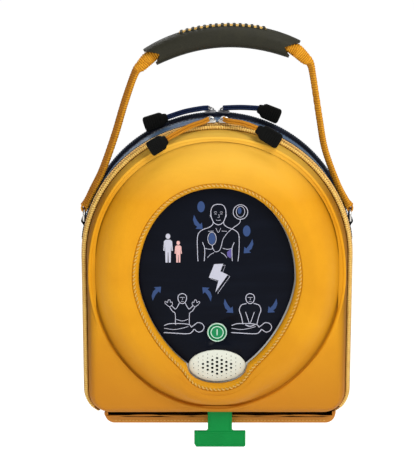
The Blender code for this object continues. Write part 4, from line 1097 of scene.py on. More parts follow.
def grip_frame(share):
    """Place, tangent and normal on the grip's centre line, share -1 to 1 from left to right."""
    angle = share * GRIP_HALF_ANGLE - GRIP_TILT
    normal = Vector((math.sin(angle), 0, math.cos(angle)))
    tangent = Vector((math.cos(angle), 0, -math.sin(angle)))
    lift = Vector((math.sin(-GRIP_TILT), 0, math.cos(-GRIP_TILT)))
    return GRIP_CENTRE + (normal - lift) * GRIP_BEND_RADIUS, tangent, normal


def grip_row(share, inner=False):
    """One section of the sleeve. Its mouths are notched, so its points lie at different shares."""
    points = []
    for c, s in circle(1, 44):
        bite = 0.175 * (1 - abs(s)) ** 0.8 + (0.055 if s < 0 else 0.0) * abs(s)
        place, _, normal = grip_frame(share * (1.0 - bite * abs(share) ** 6))
        reach = squared(c, s, 2.6)
        tall, deep = GRIP_HALF_HEIGHT * (1.0 - 0.10 * abs(share) ** 3), GRIP_HALF_DEPTH
        if inner:
            tall, deep = tall - 0.0022, deep - 0.0024
        elif s > 0.45 and LACE_FROM < share < LACE_TO and abs(c) < 0.42:
            channel = min(1.0, (0.42 - abs(c)) / 0.12)
            ends = min(1.0, (share - LACE_FROM) / 0.03, (LACE_TO - share) / 0.03)
            tall -= 0.0024 * channel * ends
        points.append(place + normal * (tall * reach * s) + BACKWARDS * (deep * reach * c))
    return points


def make_grip():
    """The rubber sleeve, split along its top and laced over the webbing."""
    shares = np.linspace(-1, 1, 121)
    rows = [grip_row(share) for share in shares] + [grip_row(share, inner=True) for share in shares[::-4]]
    sleeve = loft("grip_sleeve", rows, "grip_rubber", 50.0, loop=True)
    finish_piece(sleeve, "carry_handle", "black_rubber", "hand_grip")
    laces, webbing = Bundle(), Bundle()
    points, faces = block((0.0029, 0.0132, 0.0040), bevel=0.0008)
    for i in range(LACES):
        place, tangent, normal = grip_frame(LACE_FROM + (LACE_TO - LACE_FROM) * (i + 0.5) / LACES)
        turn = Matrix((tangent, BACKWARDS, normal)).transposed()
        laces.add([place + turn @ point + normal * (GRIP_HALF_HEIGHT - 0.0011) for point in points], faces)
    finish_piece(laces.make("grip_laces", "grip_rubber"), "carry_handle", "black_rubber")
    section = ((-0.0046, -0.0008), (-0.0040, 0.0), (0.0, 0.0003), (0.0040, 0.0), (0.0046, -0.0008),
               (0.0, -0.0014))
    strip = []
    for share in np.linspace(LACE_FROM + 0.01, LACE_TO - 0.01, 60):
        place, _, normal = grip_frame(share)
        top = place + normal * (GRIP_HALF_HEIGHT + 0.0003)
        strip.append([top + BACKWARDS * y + normal * z for y, z in section])
    webbing.rows(strip, caps=True)
    finish_piece(webbing.make("grip_webbing", "thread_yellow"), "carry_handle", "yellow_webbing")


def strap_stations():
    """(place, half thickness, half width) along the strap from the left ring to the right one."""
    left = [(-0.1186, -0.1532), (-0.1160, -0.1482), (-0.1103, -0.1368), (-0.1017, -0.1190),
            (-0.0906, -0.0880), (-0.0815, -0.0582), (-0.0722, -0.0325), (-0.0664, -0.0258)]
    right = [(0.0768, -0.0195), (0.0815, -0.0240), (0.0843, -0.0358), (0.0905, -0.0731),
             (0.0958, -0.1010), (0.1065, -0.1303), (0.1150, -0.1479), (0.1186, -0.1532)]
    places = [Vector((x, 0, z)) for x, z in left]
    places += [grip_frame(share)[0] for share in (-0.97, -0.78, -0.5, 0.0, 0.5, 0.78, 0.97)]
    places += [Vector((x, 0, z)) for x, z in right]
    flat = (0.0034, 0.0084)
    mouth = [(0.0035, 0.0050), (0.0050, 0.0058), (0.0056, 0.0070)]
    folded_end = [(0.0040, 0.0050), (0.0033, 0.0046)]
    sizes = folded_end + [(0.0034, 0.0044)] * 4 + mouth + [flat] * 5
    return places, sizes + mouth[::-1] + [(0.0029, 0.0044)] * 4 + folded_end[::-1]


def make_strap():
    """The webbing, folded lengthwise into two layers between the grip and the rings."""
    places, sizes = strap_stations()
    steps, sides = 26, 28
    path = smooth_path(places, steps)
    size = refine([[(a, b, 0)] for a, b in sizes], steps)
    rows, shades = [], []
    total = 0.0
    for i, (place, ahead) in enumerate(headings(path)):
        total += (place - path[i - 1]).length if i else 0.0
        normal = ahead.cross(BACKWARDS)
        thick, wide = size[i][0][:2]
        rib = 1.0 + 0.05 * math.sin(2 * math.pi * total / STRAP_RIB)
        steep = min(1.0, max(0.0, (abs(ahead.z) - 0.75) / 0.15))
        row = []
        for c, s in circle(1, sides):
            reach = squared(c, s, 3.4) * rib
            across = normal * (thick * reach * s)
            edge = across.x / thick
            ridge = 1.0 - steep * 0.34 * abs(edge - 0.35) if c < 0 else 1.0
            row.append(place + across + BACKWARDS * (wide * reach * c * ridge))
            # Painted shade on the side of each steep run that faces away from the key lamp, deeper on the
            # left strap.
            shades.append(steep * min(1.0, max(0.0, 0.35 - edge) * 4) * (0.75 if place.x < 0 else 0.35))
        rows.append(row)
    strap = loft("carry_strap_webbing", rows, "strap_webbing", 60.0, caps=True)
    mark(strap, "painted_shade", shades)
    finish_piece(strap, "carry_handle", "yellow_webbing", "carry_strap")


def strip_rows(path, half_width):
    """Sections of a flat strip of webbing along a path in X and Z."""
    top = ((-0.93, 1.0), (-0.5, 0.8), (0, 1.0), (0.5, 0.8), (0.93, 1.0))
    section = [(-1, 0.0), *top, (1, 0.0), *((y, -z) for y, z in reversed(top))]
    rows = []
    for place, ahead in headings(path):
        normal = ahead.cross(BACKWARDS) * WEBBING_THICKNESS / 2
        rows.append([place + BACKWARDS * y * half_width + normal * z for y, z in section])
    return rows


def half_turn(x, z, reach, up, steps=8):
    """A half circle from the inner side of (x, z) to its outer side. up is 1 over it and -1 under it."""
    turns = [math.pi * step / steps for step in range(1, steps + 1)]
    return [Vector((x - reach * math.cos(turn), 0, z + up * abs(reach) * math.sin(turn))) for turn in turns]


def make_side_fittings():
    """At each side: the ring, the strap's fold over its bow and the anchor's webbing under its bar."""
    sideways = Vector((1, 0, 0))
    bend, low = 24, RING_BAR_DROP - 0.0004
    for side, word in ((-1, "left"), (1, "right")):
        x = side * RING_X
        turns = [math.pi * k / bend for k in range(bend + 1)]
        outline = [(RING_RADIUS * math.cos(turn), RING_RADIUS * math.sin(turn)) for turn in turns]
        outline += [(-RING_RADIUS, -0.0016), (-RING_RADIUS + 0.0005, -low),
                    (-RING_RADIUS + 0.0018, -RING_BAR_DROP), (0.0, -RING_BAR_DROP),
                    (RING_RADIUS - 0.0018, -RING_BAR_DROP), (RING_RADIUS - 0.0005, -low),
                    (RING_RADIUS, -0.0016)]
        path = [Vector((x, y, RING_Z + z)) for y, z in outline]
        rows = []
        for i, place in enumerate(path):
            out = (path[(i + 1) % len(path)] - path[i - 1]).normalized().cross(sideways)
            rows.append([place + sideways * a + out * b for a, b in circle(RING_WIRE, 12)])
        finish_piece(loft(f"ring_{word}", rows, "steel", loop=True), "case", "steel", f"side_ring_{word}")
        make_anchor(side, word, x)
        make_eye(side, word, x)


def make_eye(side, word, x):
    """The strap's end, folded over the ring's bow."""
    top = RING_Z + RING_RADIUS
    reach = side * (RING_WIRE + WEBBING_THICKNESS / 2 + 0.0003)
    path = [Vector((x - reach * 1.1, 0, top + 0.0045)), Vector((x - reach, 0, top + 0.0025)),
            Vector((x - reach, 0, top))]
    path += half_turn(x, top, reach, -1)
    path += [Vector((x + reach, 0, top + 0.0020)), Vector((x + reach * 0.6, 0, top + 0.0040))]
    eye = loft(f"strap_eye_{word}", strip_rows(smooth_path(path, 3), 0.0040), "strap_webbing", caps=True)
    finish_piece(eye, "carry_handle", "yellow_webbing")


def make_anchor(side, word, x):
    """The webbing that holds the ring's bar, folded over it and sewn down on the band."""
    bar = RING_Z - RING_BAR_DROP
    reach = side * (RING_WIRE + WEBBING_THICKNESS / 2 + 0.0002)
    radius = CASE_RADIUS - BAND_INSET

    def on_band(z, lift):
        return Vector((side * (math.sqrt(radius ** 2 - (z - ARCH_Z) ** 2) + lift), 0, z))

    path = [on_band(bar - drop, 0.0011) for drop in (0.024, 0.016, 0.009, 0.0045)]
    path += [Vector((x - reach, 0, bar)), *half_turn(x, bar, reach, 1),
             Vector((x + reach, 0, bar - 0.0012))]
    path += [on_band(bar - drop, lift)
             for drop, lift in ((0.0050, 0.0028), (0.011, 0.0026), (0.0175, 0.0026))]
    anchor = loft(f"anchor_webbing_{word}", strip_rows(smooth_path(path, 4), 0.0043), "black_webbing",
                  caps=True)
    finish_piece(anchor, "case", "black_rubber", f"ring_anchor_{word}")
    seams = [[on_band(z, 0.0034) + BACKWARDS * y for z in np.linspace(bar - 0.0165, bar - 0.007, 8)]
             for y in (-0.0030, 0.0030)]
    sew(f"anchor_stitching_{word}", seams, ANCHOR_STITCH, outwards, "thread_dark", "case",
        "black_rubber")


# ---------------------------------------------------------------- face of the device


class Print:
    """Inks on the label. Places are (x, z) in millimetres from the label's centre."""

    def __init__(self):
        self.inks = {}

    def bundle(self, ink):
        return self.inks.setdefault(ink, Bundle())

    def at(self, x, z, lift=INK_HEIGHT):
        return Vector((x / 1000, LABEL_Y - lift, FACE_Z + z / 1000))

    def line(self, points, width=0.62, steps=5, closed=False):
        """A pale line through the points, of a width in millimetres."""
        points = [Vector((x, z, 0)) for x, z in points]
        if closed:
            fine = smooth_path([points[-1], *points, points[0], points[1]], steps)[steps:-steps]
        else:
            fine = smooth_path(points, steps)
        up = BACKWARDS * -INK_HEIGHT
        section = ((-1, -0.4), (-0.9, 0.7), (0, 1), (0.9, 0.7), (1, -0.4))
        rows = []
        for place, ahead in headings([self.at(p.x, p.y, 0.0) for p in fine]):
            across = ahead.cross(BACKWARDS) * width / 2000
            rows.append([place + across * a + up * b for a, b in section])
        self.bundle("ink_pale").rows(rows, caps=True)

    def shape(self, ink, points):
        rows = [[self.at(x, z, lift) for x, z in points] for lift in (-INK_HEIGHT * 0.4, INK_HEIGHT)]
        self.bundle(ink).rows(rows, caps=True)

    def oval(self, ink, x, z, half_x, half_z):
        self.shape(ink, [(x + half_x * a, z + half_z * b) for a, b in circle(1, 24)])

    def ring(self, x, z, half_x, half_z, width=0.6):
        self.line([(x + half_x * a, z + half_z * b) for a, b in circle(1, 16)], width, 3, closed=True)

    def arrow(self, x, z, mirror, turn=0.0):
        """A bent arrow, tapering from its tail to a broad head."""
        body = [(-3.4, 5.5), (-4.3, 1.0), (-3.0, -3.2), (-0.6, -5.6), (-2.2, -7.2), (4.2, -7.6),
                (3.6, -1.6), (1.9, -3.2), (-0.4, -0.4), (-1.9, 2.4)]
        c, s = math.cos(turn), math.sin(turn)
        points = [(x + mirror * (a * c - b * s), z + a * s + b * c) for a, b in body]
        self.shape("ink_blue", points if mirror > 0 else points[::-1])


def print_person(art, ink, x, foot, height):
    """A standing figure as plain shapes: head, body with arms, and two legs."""
    unit = height / 26
    art.oval(ink, x, foot + 23.6 * unit, 2.0 * unit, 2.4 * unit)
    slim = 0.84
    body = [(-2.2, 20.6), (2.2, 20.6), (4.2, 19.2), (4.9, 10.8), (3.6, 10.4), (3.1, 16.0), (2.7, 0.2),
            (0.6, 0.0), (0.2, 9.4), (-0.2, 9.4), (-0.6, 0.0), (-2.7, 0.2), (-3.1, 16.0), (-3.6, 10.4),
            (-4.9, 10.8), (-4.2, 19.2)]
    art.shape(ink, [(x + a * slim * unit, foot + b * unit) for a, b in body])


def print_torso(art):
    """A bare torso with the two pads, the cable and an enlarged pad, showing where the pads go."""
    head = [(1.0, 67.6), (5.2, 66.6), (7.4, 62.6), (7.5, 58.0), (6.6, 54.2), (4.6, 50.6), (1.0, 49.0),
            (-2.6, 50.6), (-4.6, 54.2), (-5.5, 58.0), (-5.4, 62.6), (-3.2, 66.6)]
    art.line(head, 0.65, closed=True)
    for side in (-1, 1):
        art.line([(1.0 + side * 1.4, 60.4), (1.0 + side * 2.6, 60.9), (1.0 + side * 3.9, 60.3)], 0.35, 3)
        art.line([(1.0 + side * 1.7, 58.8), (1.0 + side * 3.4, 58.9)], 0.45, 2)
        art.line([(1.0 + side * 6.3, 59.2), (1.0 + side * 7.2, 57.4), (1.0 + side * 6.1, 55.6)], 0.4, 3)
    art.line([(1.2, 58.6), (1.9, 56.0), (0.3, 55.7)], 0.35, 3)
    art.line([(-1.2, 53.4), (1.0, 52.9), (3.2, 53.4)], 0.4, 3)
    art.line([(-3.6, 51.6), (-4.2, 49.0), (-7.4, 46.6), (-13.0, 44.4), (-16.6, 41.0), (-17.6, 35.0),
                    (-17.4, 24.0), (-17.0, 15.6)])
    art.line([(5.6, 51.6), (6.2, 49.0), (9.4, 46.6), (15.0, 44.4), (18.6, 41.0), (19.4, 35.0), (19.2, 24.0),
                    (18.4, 15.6)])
    art.line([(-13.0, 33.0), (-11.2, 28.0), (-11.0, 22.0), (-11.4, 15.8)])
    art.line([(15.0, 33.0), (13.2, 28.0), (13.0, 22.0), (13.4, 15.8)])
    art.line([(-10.8, 27.4), (-6.0, 26.6), (-3.6, 27.6)], 0.5)
    art.line([(5.0, 27.6), (9.0, 26.6), (12.8, 27.4)], 0.5)
    art.line([(-8.6, 19.0), (-6.0, 21.8), (-2.6, 23.6)], 0.5)
    art.line([(3.4, 23.6), (6.4, 21.6), (8.6, 18.8)], 0.5)
    art.line([(-8.0, 43.0), (-3.4, 43.4)], 0.4, 2)
    art.line([(4.0, 43.4), (8.4, 43.0)], 0.4, 2)
    art.line([(-1.2, 46.0), (1.0, 42.0), (3.2, 46.0)], 0.4)
    art.oval("ink_blue", -4.6, 36.4, 3.0, 5.2)
    art.ring(-4.6, 36.4, 3.7, 5.9, 0.5)
    art.shape("ink_violet", [(12.4, 27.4), (8.6, 24.0), (9.0, 20.4), (11.6, 18.4), (12.6, 20.0)])
    art.line([(20.4, 54.4), (19.6, 50.6), (14.8, 46.8), (9.4, 42.0), (5.2, 36.0), (3.6, 29.6), (1.8, 25.4),
                    (-1.4, 24.4), (-3.8, 27.0), (-4.4, 30.4)], 0.55)
    art.ring(20.4, 60.6, 6.4, 6.6, 0.6)
    art.ring(20.4, 60.9, 3.7, 4.9, 0.5)
    art.oval("ink_blue", 19.6, 61.8, 1.7, 2.9)
    art.oval("ink_blue", -14.2, 65.4, 3.3, 5.0)
    art.oval("ink_blue", 26.0, 43.4, 3.3, 5.0)
    art.arrow(-17.0, 52.6, 1)
    art.arrow(27.6, 30.6, -1)


def print_rescuers(art):
    """Two rescue scenes: hands off the casualty on the left, hands on the chest on the right."""
    for x in (-31.0, 29.4):
        head = [(x, -14.2), (x + 3.2, -15.8), (x + 3.8, -19.0), (x + 2.6, -22.2), (x, -23.6),
                (x - 2.6, -22.2), (x - 3.8, -19.0), (x - 3.2, -15.8)]
        art.line(head, 0.7, 4, closed=True)
        art.line([(x - 2.2, -17.8), (x + 2.2, -17.8)], 0.4, 2)
        art.line([(x, -18.2), (x + 0.4, -19.8), (x - 0.4, -20.0)], 0.3, 2)
        art.line([(x - 1.3, -21.6), (x + 1.3, -21.6)], 0.35, 2)
    for side in (-1, 1):
        hand = [(11.5, -26.4), (13.6, -25.0), (15.6, -22.6), (14.6, -21.4), (13.2, -22.8), (12.6, -20.4),
                (11.0, -20.2), (10.4, -22.4), (9.2, -22.0), (8.7, -24.0), (9.6, -25.4)]
        art.line([(-31.0 + side * across, up) for across, up in hand], 0.5, 3, closed=True)
        outer = [(11.5, -26.4), (8.9, -30.6), (6.4, -32.8), (6.2, -41.8), (5.8, -43.4)]
        art.line([(-31.0 + side * across, up) for across, up in outer], 0.65, 3)
        inner = [(9.6, -25.4), (6.2, -28.6), (4.4, -26.6), (2.6, -23.0)]
        art.line([(-31.0 + side * across, up) for across, up in inner], 0.65, 3)
    art.line([(-36.6, -38.2), (-31.2, -39.8), (-25.8, -38.2)], 0.55, 3)
    art.line([(26.2, -23.4), (21.6, -25.0), (19.8, -29.6), (21.6, -35.6), (23.2, -42.8)], 0.7)
    art.line([(32.6, -23.4), (37.2, -25.0), (39.0, -29.6), (37.2, -35.6), (35.6, -42.8)], 0.7)
    art.line([(25.4, -31.4), (27.4, -37.4), (29.2, -42.2), (31.2, -37.4), (33.2, -31.4)], 0.6, 3)
    art.line([(25.2, -43.4), (29.4, -44.8), (33.6, -43.4)], 0.9, 3)
    for x in (-31.0, 29.4):
        art.line([(x - 16.4, -44.0), (x - 10.0, -42.2), (x + 4.8, -42.8), (x + 8.2, -45.8)], 0.7)
        art.line([(x - 16.6, -50.6), (x - 8.0, -51.2), (x + 5.0, -51.8), (x + 8.6, -50.0),
                  (x + 10.4, -47.4)], 0.8)
        art.line([(x - 16.4, -46.6), (x - 8.0, -47.8), (x - 1.0, -46.8), (x + 5.2, -45.0)], 0.5)
        art.line([(x + 8.0, -45.6), (x + 10.6, -43.6), (x + 13.6, -41.4), (x + 17.4, -42.2),
                  (x + 19.4, -45.4),
                        (x + 17.8, -49.0), (x + 14.2, -50.2), (x + 10.6, -47.6)], 0.7)
    art.arrow(-54.0, -15.4, -1, math.pi)
    art.arrow(-9.0, -16.0, 1, math.pi)
    art.arrow(10.2, -24.6, 1)
    art.arrow(49.4, -24.4, -1)


def make_label_print():
    """The instructions on the label, as plain pictograms of our own drawing."""
    art = Print()
    print_person(art, "ink_pale", -43.4, 14.4, 26.6)
    print_person(art, "ink_pink", -34.4, 14.4, 20.0)
    print_torso(art)
    bolt = [(-2.6, 13.0), (5.4, 13.4), (2.8, 6.4), (9.4, 3.2), (-1.6, -13.0), (1.2, -2.0), (-7.4, 0.6)]
    art.shape("ink_pale", bolt[::-1])
    art.line([(x + 1.9, z - 1.4) for x, z in bolt], 0.4, 1, closed=True)
    print_rescuers(art)
    for ink, bundle in art.inks.items():
        finish_piece(bundle.make(f"label_{ink}", ink, 60.0), "case", "navy_membrane")


def disc_rows(centre_x, half_x, half_z, centre_z, depths, steps):
    """An upright oval at each of the depths."""
    oval = [(centre_x + x * half_x, centre_z + z * half_z) for x, z in circle(1, steps)]
    return [[(x, y, z) for x, z in oval] for y in depths]


def cut_ovals(target, ovals, depths, steps, finish):
    """Openings through a piece; each oval is (half width, half height, z of its centre)."""
    for half_x, half_z, centre_z in ovals:
        cutter = loft("opening", disc_rows(0, half_x, half_z, centre_z, depths, steps), finish, caps=True)
        apply_boolean(target, cutter)


def make_label():
    """The membrane over the device's face, with a raised rim line and openings for button and grille."""
    angles = [2 * math.pi * k / 160 for k in range(160)]
    profile = ((-0.0010, LABEL_HIGH.y), (0.0, LABEL_HIGH.y - 0.0001), (0.0, LABEL_Y + 0.0001),
               (-0.0003, LABEL_Y), (-0.02, LABEL_Y))
    rows = [oval_ring(LABEL_OVAL, grow, y, angles, LABEL_SHIFT) for grow, y in profile]
    label = loft("membrane", rows, "membrane_film", caps=True)
    play = 0.0002
    bezel_half = BEZEL_HIGH.x + play
    cut_ovals(label, ((bezel_half, bezel_half, BEZEL_Z),
                      (GRILLE_HALF[0] + play, GRILLE_HALF[1] + play, GRILLE_Z)),
              (LABEL_HIGH.y + 0.01, LABEL_Y - 0.01), 64, "membrane_film")
    finish_piece(label, "case", "navy_membrane", "membrane_label")


def turned(profile, centre_z, steps):
    """A turned shape about an axis from front to back, from (radius, y) pairs."""
    return [[(x, y, centre_z + z) for x, z in circle(radius, steps)] for radius, y in profile]


def make_button():
    """The on/off button in its ring: a green disc with a pale ring and bar moulded on it."""
    y, z, radius = BUTTON_LOW.y, (BUTTON_LOW.z + BUTTON_HIGH.z) / 2, BUTTON_HIGH.x
    profile = ((radius - 0.0004, BUTTON_HIGH.y), (radius, BUTTON_HIGH.y - 0.0004), (radius, y + 0.0008),
               (radius - 0.0003, y + 0.0002), (radius - 0.0009, y), (radius * 0.72, y + 0.0001),
               (radius * 0.4, y + 0.0003), (0.0008, y + 0.00035))
    rows = turned(profile, z, 48)
    finish_piece(loft("power_button_cap", rows, "button_green", caps=True), "power_button", "green_plastic",
                 "on_off_button")
    symbol = Bundle()
    ring = [Vector((x, y + 0.0001, z + up)) for x, up in circle(radius * 0.83, 48)]
    symbol.rows(tube_rows(ring + ring[:1], 0.00045, flat=0.6))
    bar = [Vector((0, y + 0.0002, z + up)) for up in (-0.0029, -0.0027, 0.0, 0.0027, 0.0029)]
    symbol.rows(tube_rows(bar, [0.0002, 0.0005, 0.0005, 0.0005, 0.0002], flat=0.7), caps=True)
    finish_piece(symbol.make("power_symbol", "ink_mint"), "power_button", "green_plastic")
    low, high = BEZEL_LOW.y, BEZEL_HIGH.y
    outer, inner = BEZEL_HIGH.x, radius + 0.0003
    middle = outer - 0.0010
    for name, profile, finish, replaced in (
            ("button_bezel", ((outer, high), (outer, low + 0.0006), (outer - 0.0002, low + 0.0002),
                              (outer - 0.0005, low), (middle, low + 0.0003), (middle, high)),
             "ink_mint", ("button_ring",)),
            ("button_surround", ((middle, high), (middle, low + 0.0005), (inner + 0.0004, low + 0.0003),
                                 (inner, low + 0.0007), (inner, high)), "button_green", ())):
        made = loft(name, turned(profile, z, 56), finish, loop=True)
        finish_piece(made, "case", "pale_plastic", *replaced)


def make_grille():
    """The speaker's cover: a shallow dome with rings of holes, larger towards the middle."""
    low, high = GRILLE_LOW.y, GRILLE_HIGH.y
    rows = []
    for share, y in ((1.0, high), (1.0, low + 0.0010), (0.985, low + 0.0006), (0.94, low + 0.0003),
                     (0.80, low + 0.00012), (0.5, low), (0.2, low)):
        rows += disc_rows(0, GRILLE_HALF[0] * share, GRILLE_HALF[1] * share, GRILLE_Z, (y,), 72)
    cover = loft("speaker_cover", rows, "pale_plastic", caps=True)
    holes, wells = Bundle(), Bundle()
    for column, line in ((column, line) for column in range(-5, 6) for line in range(-3, 4)):
        x = column * 0.0042
        z = (line + (0.5 if column % 2 else 0.0)) * 0.0037
        away = math.hypot(x / GRILLE_HALF[0], z / GRILLE_HALF[1])
        if away > 0.84:
            continue
        size = 0.00138 - 0.00050 * away if away < 0.52 else 0.00046
        for bundle, grow, depths in ((holes, 1.0, (low - 0.002, high - 0.0006)),
                                     (wells, 0.99, (low + 0.0007, high - 0.0004))):
            bundle.rows(disc_rows(x, size * grow, size * grow, GRILLE_Z + z, depths, 14), caps=True)
    apply_boolean(cover, holes.make("holes", "hole_black"))
    cover.data.set_sharp_from_angle(angle=math.radians(35))
    finish_piece(cover, "case", "pale_plastic", "speaker_grille")
    # Black plugs a little way into each hole: painted shade for the dark inside of the holes.
    finish_piece(wells.make("hole_shade_plugs", "hole_black"), "case", "pale_plastic")


def make_housing():
    """The device's front shell, with smoother curves than the frame's and a slot for the tray."""
    angles = [2 * math.pi * k / 200 for k in range(200)]
    front, deep = DEVICE_LOW.y, DEVICE_HIGH.y - DEVICE_LOW.y
    stations = ((-0.0300, 0.0), (-0.0160, 0.0), (-0.0120, 0.0006), (-0.0090, 0.0018), (-0.0058, 0.0038),
                (-0.0032, 0.0068), (-0.0012, 0.0105), (0.0, 0.0140), (0.0, deep), (-0.0024, deep),
                (-0.0024, 0.0145), (-0.0060, 0.0082), (-0.0175, 0.0024))
    rows = [oval_ring(DEVICE, grow, front + back, angles) for grow, back in stations]
    shell = loft("housing_front_shell", rows, "housing_plastic", caps=True)
    slot_low, slot_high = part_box("electrode_tray")
    tall, thick = 0.04, 0.0170
    slot = block((slot_high.x - slot_low.x + 0.0024, thick, tall),
                 (0, slot_low.y - 0.0007 + thick / 2, slot_low.z + 0.0012 - tall / 2), 0.001)
    apply_boolean(shell, piece("slot", *slot, "housing_plastic"))
    bezel_half = BEZEL_HIGH.x - 0.0014
    cut_ovals(shell, ((bezel_half, bezel_half, BEZEL_Z),
                      (GRILLE_HALF[0] * 0.9, GRILLE_HALF[1] * 0.86, GRILLE_Z)),
              (front - 0.01, front + 0.004), 40, "housing_plastic")
    shell.data.set_sharp_from_angle(angle=math.radians(35))
    finish_piece(shell, "case", "pale_plastic", "device_front_housing")


def make_pull_tab():
    """The tab under the base: a flat stem and a cross bar, with a raised rim and finger ribs."""
    middle = Vector(((TAB_LOW.x + TAB_HIGH.x) / 2, (TAB_LOW.y + TAB_HIGH.y) / 2, 0))
    top, low = TAB_HIGH.z, TAB_LOW.z
    bar_top = low + 0.0159
    stem, half, chamfer, corner = 0.0111, (TAB_HIGH.x - TAB_LOW.x) / 2, 0.003, 0.0012
    half_thick = (TAB_HIGH.y - TAB_LOW.y) / 2 - 0.0006
    outline = [(stem, top), (-stem, top), (-stem, bar_top + corner), (-stem - corner, bar_top),
               (-half, bar_top), (-half, low + chamfer), (-half + chamfer * 0.6, low),
               (half - corner, low), (half, low + corner), (half, bar_top), (stem + corner, bar_top),
               (stem, bar_top + corner)]
    rows = [[middle + Vector((x, y, z)) for x, z in outline] for y in (-half_thick, half_thick)]
    tab = loft("release_tab", rows, "tab_green", caps=True)
    bevel = tab.modifiers.new("edge", "BEVEL")
    bevel.width, bevel.segments, bevel.limit_method = 0.0005, 3, "ANGLE"
    finish_piece(tab, "electrode_drawer", "green_plastic", "pull_tab")
    rim, face, edge = Bundle(), -half_thick, 0.0014
    corners = [(-half + edge, bar_top - edge), (-half + edge, low + chamfer), (-half + chamfer, low + edge),
               (half - edge, low + edge), (half - edge, bar_top - edge)]
    path = []
    for (x0, z0), (x1, z1) in zip(corners, corners[1:] + corners[:1]):
        path += [middle + Vector((x0 + (x1 - x0) * share, face, z0 + (z1 - z0) * share))
                 for share in np.linspace(0, 1, 8, endpoint=False)]
    rim.rows(tube_rows(path + path[:2], 0.0008, flat=0.75))
    for x in (-0.0093, 0.0093):
        line = [middle + Vector((x, face, z)) for z in np.linspace(top - 0.001, bar_top + 0.001, 12)]
        rim.rows(tube_rows(line, 0.0006, flat=0.7), caps=True)
    for step in range(5):
        z = low + 0.0042 + step * 0.0021
        line = [middle + Vector((x, face, z)) for x in np.linspace(-half + 0.005, half - 0.005, 20)]
        rim.rows(tube_rows(line, 0.00042, 7, flat=0.6), caps=True)
    finish_piece(rim.make("release_tab_ribs", "tab_green"), "electrode_drawer", "green_plastic")


def make_pads():
    """The two electrode pads in their pouch: soft-edged sheets with a raised gel field and a seam."""
    stations = ((0.93, 0.0), (0.985, 0.15), (1.0, 0.5), (0.985, 0.85), (0.93, 1.0), (0.80, 1.0),
                (0.775, 0.72), (0.75, 0.72), (0.72, 0.95), (0.4, 0.98))
    for name, node in (("pad_front", "electrode_pad_front"), ("pad_rear", "electrode_pad_rear")):
        low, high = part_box(node)
        half_x, half_z = (high.x - low.x) / 2, (high.z - low.z) / 2
        centre_z = (high.z + low.z) / 2
        outline = [(half_x * squared(c, s, 4) * c, half_z * squared(c, s, 4) * s) for c, s in circle(1, 64)]
        rows = [[(x * share, high.y + (low.y - high.y) * deep, centre_z + z * share) for x, z in outline]
                for share, deep in stations]
        finish_piece(loft(name, rows, "pad_film", caps=True), "electrode_drawer", "white_film", node)


# Nodes that keep the frame's shape, by the finish they get
CARRIED_OVER = {
    "housing_plastic": ("device_rear_housing", "cartridge_shell"),
    "seal_rubber": ("housing_seal",),
    "pad_film": ("electrode_tray",),
    "board": ("main_board",),
    "winding": ("charging_transformer",),
    "black_plastic": ("discharge_relay", "cartridge_connector", "speaker_driver"),
    "sleeve_blue": ("high_voltage_capacitor", "battery_cell_1", "battery_cell_2", "battery_cell_3",
                    "battery_cell_4"),
    "steel": ("button_dome_spring", "housing_screw_upper_left", "housing_screw_upper_right",
              "housing_screw_lower_left", "housing_screw_lower_right"),
}


def dress_frame():
    """Better materials for the frame's own pieces that keep their shape."""
    for finish, nodes in CARRIED_OVER.items():
        for slot in (slot for node in nodes for slot in frame["nodes"][node].material_slots):
            slot.material = Finish.made[finish]


# ---------------------------------------------------------------- floor, light and camera


def area_light(name, place, aim, size, power, colour=(1, 1, 1)):
    """A rectangular lamp at a place, turned towards its aim."""
    data = bpy.data.lights.new(name, "AREA")
    data.shape = "RECTANGLE"
    data.size, data.size_y = size
    data.energy = power
    data.color = colour
    lamp = bpy.data.objects.new(name, data)
    lamp.location = place
    lamp.rotation_euler = (Vector(aim) - Vector(place)).to_track_quat("-Z", "Y").to_euler()
    bpy.context.scene.collection.objects.link(lamp)


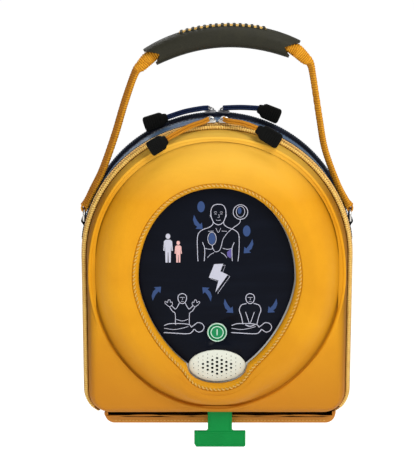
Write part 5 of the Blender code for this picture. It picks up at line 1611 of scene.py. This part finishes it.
def make_studio():
    """Plain pale floor and surround, a soft key lamp on the right and three weaker lamps."""
    corners = [(x * FLOOR_REACH, y * FLOOR_REACH, CAD_BOX[0][2] - FLOOR_DROP)
               for x, y in ((-1, -1), (1, -1), (1, 1), (-1, 1))]
    floor = piece("floor", corners, [[0, 1, 2, 3]], "glowing_floor")
    world = bpy.data.worlds.new("studio")
    world.use_nodes = True
    nodes, links = world.node_tree.nodes, world.node_tree.links
    direction = nodes.new("ShaderNodeSeparateXYZ")
    links.new(nodes.new("ShaderNodeTexCoord").outputs["Generated"], direction.inputs[0])
    # The surround is brighter at the horizon than overhead, by the height of the direction
    fade = nodes.new("ShaderNodeMapRange")
    for socket, value in (("From Min", 0.02), ("From Max", 0.20), ("To Min", 0.9), ("To Max", 0.26)):
        fade.inputs[socket].default_value = value
    links.new(direction.outputs["Z"], fade.inputs["Value"])
    links.new(fade.outputs[0], nodes["Background"].inputs["Strength"])
    nodes["Background"].inputs["Color"].default_value = (1.0, 1.0, 1.0, 1.0)
    bpy.context.scene.world = world
    area_light("key", (0.50, -0.85, 0.70), (0.03, 0, -0.12), (0.5, 0.5), 10.5, (1.0, 0.985, 0.955))
    area_light("top", (0.15, 0.25, 1.1), (0, 0, -0.1), (0.6, 0.5), 6.0)
    area_light("fill", (-1.3, -1.1, 0.0), (0, 0, -0.2), (0.9, 0.9), 1.6)
    area_light("rear", (-0.5, 1.3, 0.7), (0, 0, -0.2), (0.7, 0.7), 6.0)


def make_camera():
    """Straight on to the front, from a little above."""
    data = bpy.data.cameras.new("camera")
    data.sensor_width = 36.0
    data.lens = CAMERA_LENS
    data.dof.use_dof = False
    camera = bpy.data.objects.new("camera", data)
    back = Vector((0, -math.cos(CAMERA_ELEVATION), math.sin(CAMERA_ELEVATION)))
    camera.location = CAMERA_AIM + back * CAMERA_DISTANCE
    camera.rotation_euler = (-back).to_track_quat("-Z", "Y").to_euler()
    bpy.context.scene.collection.objects.link(camera)
    bpy.context.scene.camera = camera
    bpy.context.scene.view_settings.view_transform = "Standard"


make_materials()
make_camera()
make_studio()
make_front_shell()
make_window_edge()
make_front_zip()
make_band()
make_rear_zip()
make_rear_shell()
make_divider()
make_ledge()
make_hinge_strips()
make_pulls()
make_grip()
make_strap()
make_side_fittings()
make_housing()
make_label()
make_label_print()
make_button()
make_grille()
make_pull_tab()
make_pads()
dress_frame()
